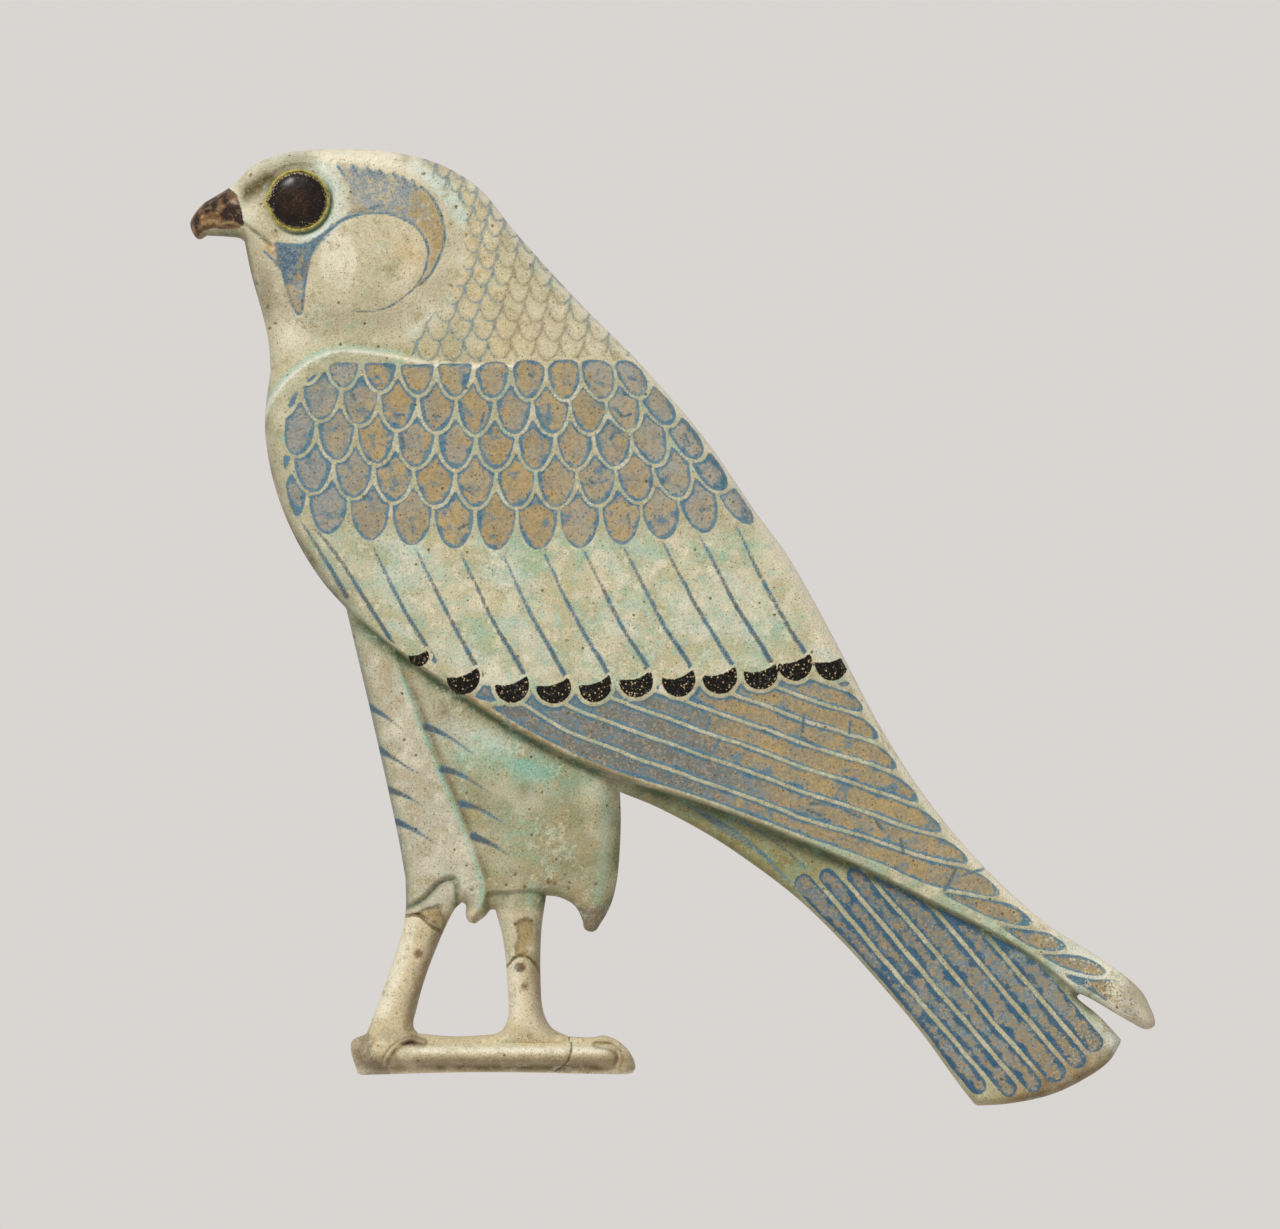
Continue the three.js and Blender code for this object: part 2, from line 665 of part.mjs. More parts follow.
const eyeMesh = new THREE.Mesh(eyeGeometry(), darkGlass);
eyeMesh.name = 'eye';
eyeMesh.position.set(eye.x, 0, eye.y);
falcon.add(eyeMesh);

export default falcon;
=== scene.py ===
"""The looks of a flat-backed falcon inlay in painted faience, laid out as an add-on and run as a script.

Lengths are in metres in the frame's own axes: the flat back is the plane y = 0, the relief rises towards
-y, the beak points to -x and z is up. Outlines and patterns are in hundredths of the figure's height, called
units here.
"""

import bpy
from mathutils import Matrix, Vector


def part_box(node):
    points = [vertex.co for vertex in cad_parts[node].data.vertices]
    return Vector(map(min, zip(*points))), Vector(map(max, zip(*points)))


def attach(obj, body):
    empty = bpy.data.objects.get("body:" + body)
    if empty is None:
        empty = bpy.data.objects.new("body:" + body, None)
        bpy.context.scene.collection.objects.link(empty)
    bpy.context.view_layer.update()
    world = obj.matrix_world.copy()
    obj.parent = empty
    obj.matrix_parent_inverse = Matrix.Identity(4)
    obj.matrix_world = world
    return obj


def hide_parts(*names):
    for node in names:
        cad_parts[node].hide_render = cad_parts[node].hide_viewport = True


bl_info = {
    "name": "Falcon inlay",
    "version": (1, 0, 0),
    "blender": (4, 5, 0),
    "location": "3D View > Sidebar > Falcon",
    "description": "Models a painted falcon inlay in low relief, with its set-in eye and a plain stage",
    "category": "Object",
}

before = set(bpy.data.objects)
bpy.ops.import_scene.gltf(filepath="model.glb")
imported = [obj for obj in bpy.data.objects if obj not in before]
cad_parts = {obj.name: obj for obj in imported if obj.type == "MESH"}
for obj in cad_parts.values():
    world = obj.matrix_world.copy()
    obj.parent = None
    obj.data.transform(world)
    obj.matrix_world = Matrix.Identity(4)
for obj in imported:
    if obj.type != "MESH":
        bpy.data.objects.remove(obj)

import math

import bmesh
import bpy
import numpy as np
from bpy.props import FloatProperty, FloatVectorProperty, PointerProperty
from mathutils import Vector
from mathutils.geometry import delaunay_2d_cdt

MM = 0.001
DOUBLES = 0.002 * MM
SHARP_ANGLE = math.radians(62)
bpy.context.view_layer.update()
BODY_LOW, BODY_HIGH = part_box("falcon_body")
EYE_LOW, EYE_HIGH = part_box("eye")
UNIT = (BODY_HIGH.z - BODY_LOW.z) / 100
UNIT_MM = UNIT / MM

# The photograph's frame: its size in pixels, the pixel where x and z are zero, and the figure's height in it
PHOTO_SIZE = (1280, 1229)
PHOTO_ORIGIN = (672.5, 627.5)
PHOTO_FIGURE = 957
KEY_DIRECTION = (-0.25, -0.74, 0.62)

# Outline in stretches, clockwise from the chin; each starts at the corner where the one before ends
OUTLINE = (
    ((-49.6, 40.6), (-50.4, 42.2), (-49.1, 44.2), (-47.7, 45.1), (-46.7, 45.7)),
    ((-45.6, 46.5), (-44.1, 48.1), (-40.8, 49.5), (-35.0, 50.0), (-29.3, 49.7), (-24.3, 48.4),
     (-20.1, 45.8), (-16.5, 41.4), (-9.7, 33.9), (-3.4, 27.6), (3.4, 19.7), (8.8, 11.9), (12.1, 7.4),
     (16.7, -0.8), (21.8, -10.5), (26.5, -17.8), (31.6, -24.0), (38.6, -30.6), (45.8, -35.3), (49.0, -38.0),
     (50.3, -40.5)),
    ((50.4, -41.6), (49.5, -42.0), (47.8, -41.2), (43.7, -38.8), (42.6, -38.3)),
    ((42.3, -38.6), (44.6, -40.6), (47.0, -43.2)),
    ((45.6, -45.4), (42.9, -47.3), (39.4, -48.9), (35.0, -49.8), (31.7, -50.0)),
    ((29.9, -47.7), (25.9, -42.2), (20.8, -36.2), (17.3, -32.4), (12.8, -28.1), (8.2, -24.6), (4.0, -21.8),
     (-1.6, -18.8), (-5.5, -17.2)),
    ((-5.4, -20.4), (-5.8, -26.4), (-6.5, -29.1), (-7.5, -30.9), (-8.2, -31.8), (-9.2, -31.5),
     (-9.4, -30.6), (-10.2, -29.1), (-11.8, -28.2), (-13.2, -28.0)),
    ((-13.7, -31.6), (-13.8, -36.8), (-13.5, -40.2), (-12.6, -41.9), (-10.9, -42.8)),
    ((-8.4, -42.9), (-7.2, -42.7), (-5.5, -43.4), (-4.2, -44.9), (-3.9, -46.3), (-4.5, -46.7)),
    ((-20.4, -46.5), (-32.9, -46.8)),
    ((-33.6, -43.4), (-32.0, -42.5)),
    ((-31.0, -39.9), (-28.5, -32.7), (-27.9, -29.7), (-27.9, -26.2)),
    ((-28.6, -22.2), (-31.3, -9.9), (-34.1, 2.0)),
    ((-36.5, 4.7), (-38.9, 8.4), (-40.8, 12.5), (-42.1, 17.0), (-42.6, 21.6), (-42.0, 26.9)),
    ((-42.3, 30.4), (-44.1, 37.3), (-44.7, 40.3)),
    ((-45.2, 40.7), (-46.6, 40.9), (-48.7, 41.0)),
)
# Opening between the legs and the foot
OPENING = (
    ((-27.1, -41.8), (-26.7, -39.6), (-25.5, -35.6), (-22.8, -29.5), (-22.0, -28.7)),
    ((-21.6, -29.0), (-21.6, -30.2), (-21.0, -31.2)),
    ((-19.6, -30.2), (-19.0, -29.5), (-18.5, -29.5)),
    ((-17.7, -32.7), (-17.2, -38.0), (-17.2, -40.8), (-17.8, -42.1), (-18.7, -42.6)),
    ((-22.6, -42.8), (-26.6, -42.5)),
)

# Lines along which one part of the relief steps down to the next
SHOULDER = ((-43.6, 19.6), (-42.4, 23.0), (-40.9, 25.3), (-38.1, 27.8), (-35.0, 29.0), (-31.8, 28.9),
            (-27.7, 28.2), (-24.6, 27.5), (-13.8, 27.3), (2.0, 27.4))
WING_EDGE = ((-40.0, 9.0), (-33.9, 2.2), (-29.2, -2.0), (-23.4, -6.1), (-15.1, -11.3), (-6.8, -15.2),
             (4.1, -18.7), (17.7, -24.1), (25.9, -28.1), (36.4, -33.6), (43.7, -39.3))
LEG_RIDGE = ((-30.0, 1.0), (-27.5, -6.5), (-22.9, -18.1), (-20.8, -23.5), (-19.7, -27.2), (-20.6, -31.1))
FORE_HEM = ((-28.8, -29.2), (-26.4, -28.3), (-24.4, -26.4), (-22.8, -26.0), (-22.3, -26.7), (-22.2, -28.9))
HIND_HEM = ((-19.4, -33.0), (-19.3, -27.9), (-17.5, -27.6), (-13.5, -27.6), (-12.9, -28.6), (-12.8, -33.0))

# Head
SKULL_CENTRE = (-33.7, 41.9)
SKULL_REACH = (11.2, 10.6)
EYE_SHIFT = (0.1, -0.2)
EYE_CENTRE = ((EYE_LOW.x + EYE_HIGH.x) / 2 / UNIT + EYE_SHIFT[0],
              (EYE_LOW.z + EYE_HIGH.z) / 2 / UNIT + EYE_SHIFT[1])
EYE_REACH = ((EYE_HIGH.x - EYE_LOW.x) / 2 / UNIT, (EYE_HIGH.z - EYE_LOW.z) / 2 / UNIT)
EYE_CORNER_TURN = 0.06
EYE_CORNER_WIDTH = 0.16
BROW = ((-44.8, 45.2), (-43.3, 46.0), (-42.1, 46.9), (-40.6, 47.8), (-38.6, 48.4), (-36.5, 48.4))
MANDIBLE = ((-49.3, 41.6), (-47.3, 41.8), (-44.5, 42.1))
MOUTH = ((-44.8, 42.1), (-43.2, 41.0), (-41.9, 39.9))
GAPE = (-41.7, 39.65)
BEAK = ((-45.4, 45.2), (-44.9, 43.6), (-44.8, 41.9), (-46.4, 41.5), (-48.0, 41.55), (-49.2, 41.1),
        (-49.7, 40.0), (-51.2, 40.0), (-51.2, 43.7), (-49.0, 45.4), (-46.9, 46.2))
BEAK_SEAM = ((-49.0, 42.1), (-47.9, 42.4), (-47.3, 42.0), (-46.0, 42.2), (-44.9, 41.8))
TEMPLE = ((-34.8, 48.0), (-34.0, 46.5), (-33.5, 44.7), (-33.6, 43.6), (-34.9, 42.1), (-33.5, 42.9),
          (-30.8, 43.3), (-28.1, 42.6), (-26.9, 41.9), (-26.4, 42.9), (-26.5, 44.4), (-26.8, 45.9),
          (-27.6, 46.8), (-29.2, 47.3), (-31.0, 47.6), (-33.0, 48.0))
CRESCENT = ((-27.3, 46.4), (-26.4, 46.0), (-24.9, 44.4), (-24.0, 42.3), (-23.8, 40.4), (-24.3, 38.7),
            (-25.1, 37.1), (-26.3, 35.8), (-25.7, 37.4), (-25.5, 39.4), (-26.2, 41.0), (-27.3, 42.3))
CHEEK = ((-35.1, 42.0), (-34.0, 42.6), (-32.3, 43.1), (-30.6, 43.2), (-29.2, 43.0), (-27.4, 42.2),
         (-26.2, 41.0), (-25.5, 39.4), (-25.6, 38.0), (-26.0, 36.8), (-26.7, 35.6), (-28.0, 34.4),
         (-29.7, 33.4), (-31.4, 33.0), (-33.4, 33.0))
OUTER_ARC = ((-26.2, 45.9), (-25.1, 44.7), (-24.1, 42.6), (-23.8, 40.7), (-24.2, 38.8), (-25.1, 37.0),
             (-26.3, 35.7))
MOUSTACHE = ((-41.3, 40.2), (-39.3, 39.9), (-37.5, 40.4), (-35.4, 41.8), (-36.8, 40.1), (-37.7, 38.7),
             (-38.1, 37.3), (-38.3, 35.9), (-38.6, 32.8), (-39.2, 32.8), (-39.8, 33.9), (-40.3, 35.4),
             (-40.6, 36.8), (-41.2, 37.9))
MOUSTACHE_LINES = (
    ((-42.6, 39.2), (-41.5, 38.3), (-40.8, 37.6), (-40.4, 36.3), (-40.0, 35.0), (-39.4, 33.4), (-39.0, 32.7),
     (-38.6, 32.8)),
    ((-35.1, 41.9), (-36.1, 41.2), (-37.2, 40.1), (-37.9, 38.1), (-38.4, 34.9), (-38.5, 33.2)),
    ((-36.8, 40.8), (-38.0, 39.5), (-38.5, 37.8)),
    ((-41.2, 40.1), (-39.3, 39.9), (-37.9, 40.0), (-36.8, 40.7)),
    ((-32.4, 43.5), (-31.3, 43.7), (-30.6, 44.0)),
)
TEMPLE_DASHES = (
    ((-34.9, 48.1), (-34.0, 46.5)), ((-33.4, 48.1), (-32.5, 46.5)), ((-31.9, 47.9), (-31.1, 46.8)),
    ((-30.6, 47.6), (-29.5, 46.2)), ((-29.1, 47.3), (-28.1, 45.9)), ((-28.1, 47.0), (-27.3, 45.6)),
    ((-27.1, 46.7), (-26.6, 45.4)),
)
WARM_STREAK = ((-37.0, 40.4), (-38.3, 39.2), (-38.9, 37.6), (-38.9, 36.0))
WARM_BAND = ((-33.0, 43.5), (-31.0, 43.5), (-28.5, 43.7), (-27.2, 43.0))
NAPE_PATCH = ((-27.4, 48.3), (-25.3, 47.6), (-23.7, 46.3), (-22.4, 44.7), (-21.6, 42.4), (-22.2, 42.0),
              (-23.1, 43.4), (-24.5, 45.1), (-26.0, 46.7))

# Nape scales: their front border, the place of the lowest row and how the rows go on upwards
SCALE_BORDER = ((-28.5, 27.0), (-27.2, 30.2), (-25.6, 32.0), (-23.4, 34.2), (-22.3, 36.3), (-21.9, 38.2),
                (-21.2, 40.9), (-22.0, 43.1), (-23.5, 45.5), (-25.3, 47.2), (-27.0, 50.5))
SCALE_ROWS = 13
SCALE_START = (-15.5, 27.85)
SCALE_PITCH = (2.5, 2.05)
SCALE_PITCH_LOSS = (0.085, 0.03)
SCALE_DRIFT = -0.55
SCALE_DEPTH = 2.3

# Short feathers: cells, first and last x, and the height of their lower ends at the front, middle and rear
FEATHER_ROWS = (
    (9, -34.3, -3.4, 25.0, 23.9, 24.0),
    (10, -36.6, -0.5, 21.7, 20.1, 21.0),
    (11, -39.2, 2.4, 18.0, 16.5, 17.5),
    (11, -37.5, 4.9, 14.1, 12.5, 14.2),
    (11, -35.9, 7.8, 9.7, 8.1, 10.7),
)
FEATHER_DEPTH = 3.7
FEATHER_REACH = 6.4
FEATHER_LEAN = 0.33
FEATHER_TOPS = (27.5, 28.0)
FEATHER_TOP_OVAL = 1.3
FEATHER_CHANCE = 8
CUSP = 1.7
THREAD = 0.34
FEATHER_MARKS = (
    ((-6.4, 19.6), (-5.8, 20.3), (-4.7, 19.6)), ((-8.6, 15.3), (-8.0, 15.0), (-6.7, 15.4)),
    ((-6.1, 22.9), (-5.1, 22.0), (-4.2, 22.2)), ((-4.7, 11.8), (-4.5, 10.7)), ((2.9, 12.2), (4.0, 12.3)),
    ((-4.5, 26.0), (-3.6, 25.7)), ((1.4, 20.0), (1.8, 18.9)), ((-28.9, 22.1), (-27.9, 22.2)),
    ((-28.2, 19.9), (-27.9, 18.2)), ((-25.0, 22.1), (-24.2, 21.9)), ((-19.6, 22.3), (-20.0, 20.8)),
    ((-22.0, 14.6), (-20.5, 13.7)), ((-17.1, 15.9), (-16.0, 16.2)), ((-22.3, 10.3), (-21.4, 10.8)),
    ((-33.4, 24.3), (-33.1, 23.6)), ((-30.9, 26.1), (-30.5, 25.8)), ((-14.9, 26.4), (-14.5, 26.0)),
)

# Middle feathers: the painted grooves between them, and the black tips
GROOVES = 11
GROOVE_FIRST = (-35.8, 7.5)
GROOVE_PITCH = (4.75, -0.05)
GROOVE_RISE = 0.078
GROOVE_END = (-0.7, 1.1)
GROOVE_BOW = 0.25
FRONT_GROOVES = (((-38.6, 10.9), (-36.9, 8.1), (-35.2, 5.4), (-33.9, 3.2)),
                 ((-37.3, 10.3), (-34.9, 7.4), (-31.8, 2.6), (-28.7, -2.6)))
TIPS = ((-26.4, -3.4), (-21.7, -5.7), (-16.6, -6.5), (-12.3, -6.6), (-8.0, -6.5), (-3.7, -6.0), (0.7, -5.9),
        (5.0, -5.6), (9.2, -5.2), (12.8, -4.3), (16.6, -4.2))
TIP_REACH = 1.78
TIP_HOLLOW = (-1.0, 3.65)
TIP_HOLLOW_REACH = 3.6
TIP_BORDER = 0.42

# Long feathers: the lowest full ridge, whose copies lie above it, and the short ones near the wing's tip
LONG_RIDGE = ((-15.6, -7.9), (-11.8, -10.3), (-5.5, -12.9), (0.8, -15.2), (7.1, -17.4), (13.3, -19.7),
              (19.6, -21.7), (25.9, -23.9), (31.6, -25.2))
LONG_RIDGES = 7
LONG_PITCH = 2.7
LONG_PITCH_LOSS = 0.038
# Where each long feather's filling turns from blue to tan, by its number; the last four count from the tip
LONG_TURNS = (3, 9, 4, 3, -3, -4, -4, -4, 3, 10, 10, 10, 10)
WING_END = 48.5
TIP_RIDGES = (
    ((18.5, -24.1), (21.7, -25.1), (25.9, -26.8), (30.0, -27.7), (34.2, -28.4), (36.1, -28.3)),
    ((28.5, -28.8), (30.0, -29.3), (32.7, -30.4), (35.3, -31.1), (38.4, -31.3), (39.4, -30.7)),
    ((32.7, -31.4), (34.2, -32.1), (36.3, -33.2), (39.4, -34.0), (43.4, -33.8)),
    ((37.4, -34.2), (39.4, -35.1), (41.5, -36.0), (44.1, -36.6), (47.0, -36.3)),
)
CROSS_MARKS = (
    ((3.9, -9.3), (3.6, -10.6)), ((4.9, -11.6), (4.1, -13.2)), ((13.7, -9.0), (13.5, -10.8)),
    ((18.6, -9.7), (18.5, -11.0)), ((14.2, -19.0), (15.6, -19.6)), ((21.3, -20.3), (22.2, -21.4)),
    ((23.8, -22.0), (24.0, -23.6)), ((29.6, -25.2), (28.4, -27.4)), ((13.3, -11.3), (15.2, -12.4)),
    ((30.2, -25.9), (32.4, -25.3)), ((14.4, -18.3), (17.0, -18.6), (19.6, -19.8)),
)

# Tail: its middle line, the ridges between its feathers and where each feather starts and ends
TAIL_ORIGIN = (18.5, -25.1)
TAIL_AXIS = (0.652, -0.759)
TAIL_RIDGES = (-5.9, -3.5, -1.3, 0.95, 3.8, 6.25, 8.75)
TAIL_THREAD = 0.23
TAIL_STARTS = (-2.9, -1.7, 0.1, -9.0, -9.0, -9.0)
TAIL_ENDS = (26.9, 29.1, 30.4, 31.3, 31.6, 31.4)
TAIL_ROOT_LINES = (
    ((2.9, -19.1), (7.1, -21.7), (10.7, -24.8)), ((7.1, -20.1), (10.7, -22.4), (13.8, -25.1)),
    ((1.8, -18.6), (5.0, -20.9), (9.1, -23.6), (12.3, -26.6)),
)

# Thighs, legs and foot
TOE = ((-27.9, -44.65), (-6.8, -44.65))
TOE_REACH = 1.0
FRACTURE = ((-34.2, -42.0), (-32.2, -42.3), (-31.2, -43.0), (-31.6, -44.3), (-30.8, -45.4), (-29.6, -46.4),
            (-29.9, -47.4), (-34.2, -47.4))
FORE_CRUMBS = ((-26.9, -29.8), (-25.6, -29.1), (-24.3, -28.9), (-23.7, -30.0), (-24.1, -31.6), (-25.3, -30.9))
HIND_CRUMBS = ((-16.3, -30.6), (-14.9, -30.3), (-14.6, -32.3), (-15.0, -34.2), (-16.6, -34.3), (-16.2, -32.6))
THIGH_DASHES = (
    ((-31.6, -8.3), (-30.2, -9.1), (-28.1, -10.7)), ((-30.6, -12.8), (-29.2, -13.6), (-26.3, -15.3)),
    ((-29.7, -16.9), (-28.2, -17.4), (-26.0, -18.7)), ((-28.7, -20.3), (-27.2, -21.0), (-24.6, -22.7)),
    ((-25.6, -10.3), (-23.6, -11.2), (-20.6, -13.4)), ((-24.0, -14.7), (-22.0, -15.4), (-18.9, -17.4)),
    ((-22.0, -18.4), (-20.2, -18.9), (-17.2, -20.7)), ((-20.7, -21.8), (-19.0, -22.5), (-16.9, -24.0)),
)
FORE_BREAK = ((-28.2, -30.0), (-27.7, -30.0), (-26.4, -30.0), (-25.2, -31.1), (-24.0, -32.0))
HIND_BREAK = ((-17.6, -35.6), (-17.2, -35.3), (-16.5, -34.5), (-15.3, -34.4), (-14.4, -35.1), (-13.4, -36.8))
FOOT_CRACK = ((-10.8, -42.6), (-10.6, -44.0), (-11.1, -45.4), (-12.2, -46.4))
FRONT_CLAW = ((-26.1, -43.3), (-27.4, -43.0), (-28.9, -43.7), (-29.8, -44.8), (-30.2, -46.0))
REAR_CLAW = ((-7.9, -43.5), (-6.2, -43.8), (-5.4, -44.8), (-5.7, -45.7))
PITS = ((-44.1, 47.2), (-25.9, 47.3), (-22.6, 43.8), (-21.4, 40.9), (-42.2, 33.5), (-42.0, 31.3),
        (-21.0, -27.4), (-17.3, -26.8), (-15.4, -27.0), (-10.8, -27.2), (-8.0, -26.8), (-16.4, -25.7),
        (-16.3, -31.0), (-12.3, -26.7), (-41.4, 31.8), (-43.4, 35.9))
STAINS = (((-15.9, -35.6), 0.55), ((-15.4, -37.4), 0.45), ((-26.6, -34.2), 0.5), ((-12.9, -26.5), 0.35),
          ((-12.0, -26.5), 0.35))

# Mesh rows between the grid and the outline, as shares of the way that is left, and rows down the wall
EDGE_ROWS = (0.5, 0.22, 0.0)
WALL_ROWS = (0.66, 0.28, 0.0)


def linear(value):
    """A display colour number from 0 to 255 as the linear number that a shader takes."""
    share = value / 255
    return share / 12.92 if share <= 0.04045 else ((share + 0.055) / 1.055) ** 2.4


def swatch(name, description, *shades):
    return FloatVectorProperty(name=name, description=description, subtype="COLOR", size=3, min=0, max=1,
                               default=tuple(linear(shade) for shade in shades))


def length(name, description, millimetres):
    return FloatProperty(name=name, description=description, default=millimetres * MM, unit="LENGTH", min=0)


class FalconSizes(bpy.types.PropertyGroup):
    """Thicknesses from the flat back, and the fineness of the carving."""
    cell: length("Cell", "Width of one cell of the relief's mesh", 0.385)
    wing: length("Wing", "Thickness of the wing at the shoulder", 11.4)
    wing_tip: length("Wing tip", "Thickness of the wing at its tip", 7.8)
    neck: length("Neck", "Thickness of the neck", 9)
    head: length("Head", "Thickness of the skull", 11.3)
    beak: length("Beak", "Thickness of the beak's tip", 7.8)
    fore_thigh: length("Fore thigh", "Thickness of the fore thigh", 8.7)
    hind_thigh: length("Hind thigh", "Thickness of the hind thigh", 8)
    trouser: length("Trouser", "Thickness of the thighs at their hem", 7.4)
    leg: length("Leg", "Thickness of the legs", 6.5)
    toe: length("Toe", "Thickness of the toes", 6.7)
    foot: length("Foot", "Thickness of the ledge under the toes", 4.7)
    tail_root: length("Tail root", "Thickness of the tail at its root", 5)
    tail_end: length("Tail end", "Thickness of the tail at its end", 6)
    broken_end: length("Broken end", "Thickness of the foot's broken front end", 2.6)
    cell_sink: length("Cell sink", "How deep a short feather's filling lies", 0.1)
    long_sink: length("Long sink", "How deep a long feather's filling lies", 0.3)
    groove: length("Groove", "Depth of the grooves between the middle feathers", 0.22)
    eye_dome: length("Eye dome", "Rise of the eye above its seat", 1.5)


class FalconColours(bpy.types.PropertyGroup):
    """Colours of the glaze, the paste and the wear; some are also laid on as painted highlights and painted
    shade.
    """
    # crown: also laid as a painted highlight on the head's top edge, the throat, the back edge, the shoulder, the
    # legs and the toe
    crown: swatch("Crown", "Thick cream glaze on the crown and the rims", 238, 231, 206)
    cream: swatch("Cream", "Cream ground of the head and neck", 203, 194, 162)
    tan_cream: swatch("Tan cream", "Ground of the nape scales", 205, 190, 152)
    pale: swatch("Pale", "White-green ground of the middle feathers", 183, 183, 153)
    # olive: also laid as painted shade in the brow, under the cheek and below the wing's edge
    olive: swatch("Olive", "Olive ground of the hind thigh", 164, 163, 129)
    root: swatch("Root", "Glaze of the tail's root", 136, 132, 86)
    ash: swatch("Ash", "Grey-green ground of the fore thigh", 190, 186, 164)
    bone: swatch("Bone", "Bare cream paste of the legs", 203, 188, 151)
    rim: swatch("Rim", "Cream threads between the feathers", 180, 175, 142)
    blue: swatch("Blue", "Blue-grey filling of the feathers", 144, 152, 150)
    mist: swatch("Mist", "Blue-grey of the temple", 142, 152, 156)
    tan: swatch("Tan", "Tan filling of the feathers", 171, 150, 106)
    slate: swatch("Slate", "Grey-blue filling of the long feathers near the thigh", 108, 122, 126)
    ink: swatch("Ink", "Blue line round each feather", 88, 126, 144)
    deep: swatch("Deep blue", "Dark blue of the tail feathers and the moustache", 50, 90, 116)
    amber: swatch("Amber", "Orange-yellow of the gape and the warm grains", 192, 146, 82)
    # green: also laid as painted shadow below the wing's edge, the hems and the lid, and as painted shade on the
    # hind thigh's right edge
    green: swatch("Green", "Pooled green glaze", 70, 92, 64)
    turquoise: swatch("Turquoise", "Turquoise bloom", 140, 186, 164)
    # ice: also laid, with crown, in the painted highlight along the shoulder
    ice: swatch("Ice", "White-blue bloom round the eye and on the nape", 206, 218, 206)
    black: swatch("Black", "Black feather tips", 16, 15, 12)
    horn: swatch("Horn", "Dark brown of the beak", 66, 44, 30)
    rust: swatch("Rust", "Red-brown of the beak and the stains", 124, 78, 44)
    lid: swatch("Lid", "Yellow-green lid round the eye", 184, 174, 84)
    # moss: also laid as painted shade in the brow, under the cheek, below the thigh's step, in the toe's groove
    # and round the breaks
    moss: swatch("Moss", "Dark olive of the brow and the edges", 92, 80, 42)
    # earth: also laid as painted shade on the legs' right sides and on and round the toe
    earth: swatch("Earth", "Dirt in the pits and on the walls", 120, 102, 74)
    # stone: also laid as painted shade on the throat
    stone: swatch("Stone", "Grey paste of the broken ends", 124, 112, 92)
    eye: swatch("Eye", "Dark brown of the eye", 19, 10, 4)
    stage: swatch("Stage", "Pale grey of the floor and the backdrop", 217, 213, 210)


def curve(points, steps=10):
    """A smooth line through the points, as a centripetal Catmull-Rom curve."""
    p = np.array(points, float)
    if len(p) == 2:
        return p
    q = np.vstack([2 * p[0] - p[1], p, 2 * p[-1] - p[-2]])
    gaps = np.maximum(np.hypot(*np.diff(q, axis=0).T) ** 0.5, 1e-4)
    share = np.linspace(0, 1, steps, endpoint=False)[:, None]
    out = []
    for i in range(len(p) - 1):
        a, b, c, d = q[i:i + 4]
        before, here, after = gaps[i:i + 3]
        t = share * here
        ab = b + (b - a) * t / before
        bc = b + (c - b) * t / here
        cd = c + (d - c) * (t - here) / after
        abc = ab + (bc - ab) * (t + before) / (before + here)
        bcd = bc + (cd - bc) * t / (here + after)
        out.append(abc + (bcd - abc) * t / here)
    out.append(p[-1:])
    return np.vstack(out)


def loop(stretches):
    """A closed outline of smooth stretches that meet at corners."""
    corner = stretches[-1][-1]
    parts = []
    for stretch in stretches:
        parts.append(curve((corner, *stretch), 8)[:-1])
        corner = stretch[-1]
    return np.vstack(parts)


def nearest(x, z, line, closed=False, reach=None):
    """Distance, side (positive on the left of the line's run), share along the line and the nearest place."""
    start = np.array(line, float)
    end = np.roll(start, -1, axis=0) if closed else start[1:]
    start = start if closed else start[:-1]
    run = end - start
    square = np.maximum((run ** 2).sum(1), 1e-12)
    far = 1e3 if reach is None else reach
    distance = np.full(x.size, far)
    side = np.ones(x.size)
    share = np.zeros(x.size)
    place = np.zeros((x.size, 2))
    near = np.arange(x.size)
    if reach is not None:
        low, high = start.min(0) - reach, start.max(0) + reach
        low, high = np.minimum(low, end.min(0) - reach), np.maximum(high, end.max(0) + reach)
        near = np.flatnonzero((x > low[0]) & (x < high[0]) & (z > low[1]) & (z < high[1]))
    for chunk in np.array_split(near, max(1, near.size // 20000)):
        if not chunk.size:
            continue
        dx = x[chunk, None] - start[:, 0]
        dz = z[chunk, None] - start[:, 1]
        along = np.clip((dx * run[:, 0] + dz * run[:, 1]) / square, 0, 1)
        gap = (dx - along * run[:, 0]) ** 2 + (dz - along * run[:, 1]) ** 2
        best = gap.argmin(1)
        row = np.arange(chunk.size)
        distance[chunk] = np.sqrt(gap[row, best])
        side[chunk] = np.where(run[best, 0] * dz[row, best] - run[best, 1] * dx[row, best] < 0, -1, 1)
        share[chunk] = (best + along[row, best]) / len(run)
        place[chunk] = start[best] + along[row, best][:, None] * run[best]
    return distance, side, share, place


def between(x, z, edges):
    """Which points have an odd number of these edges to one side of them."""
    odd = np.zeros(x.size, bool)
    for (x0, z0), (x1, z1) in edges:
        if z0 != z1:
            odd ^= ((z0 > z) != (z1 > z)) & (x < (x1 - x0) * (z - z0) / (z1 - z0) + x0)
    return odd


def inside(x, z, polygon):
    return between(x, z, zip(polygon, np.roll(polygon, -1, axis=0)))


def on_outline(x, z):
    """Distance to the nearest place on the outline or the opening's edge, and that place."""
    outer, _, _, outer_place = nearest(x, z, OUTER, closed=True)
    inner, _, _, inner_place = nearest(x, z, INNER, closed=True, reach=FAR)
    return np.minimum(outer, inner), np.where((inner < outer)[:, None], inner_place, outer_place)


def across(low, high, value):
    """Rises smoothly from 0 to 1 as the value goes from low to high."""
    share = np.clip((value - low) / (high - low), 0, 1)
    return share * share * (3 - 2 * share)


def mix(a, b, share):
    return a + (b - a) * share


def joined(a, b, reach):
    """The smaller of two distances, with a rounded corner where they meet."""
    over = np.clip(reach - np.abs(a - b), 0, None) / reach
    return np.minimum(a, b) - over * over * reach / 4


def bead(offset, half_width):
    return np.exp(-(offset / half_width) ** 2)


def eye_corner(x, z):
    """One in the direction of the eye's front corner, and nothing in the others."""
    return bead(np.arctan2(z, -x) + EYE_CORNER_TURN, EYE_CORNER_WIDTH)


def quarter(share):
    return np.sqrt(np.maximum(1 - (1 - np.clip(share, 0, 1)) ** 2, 0))


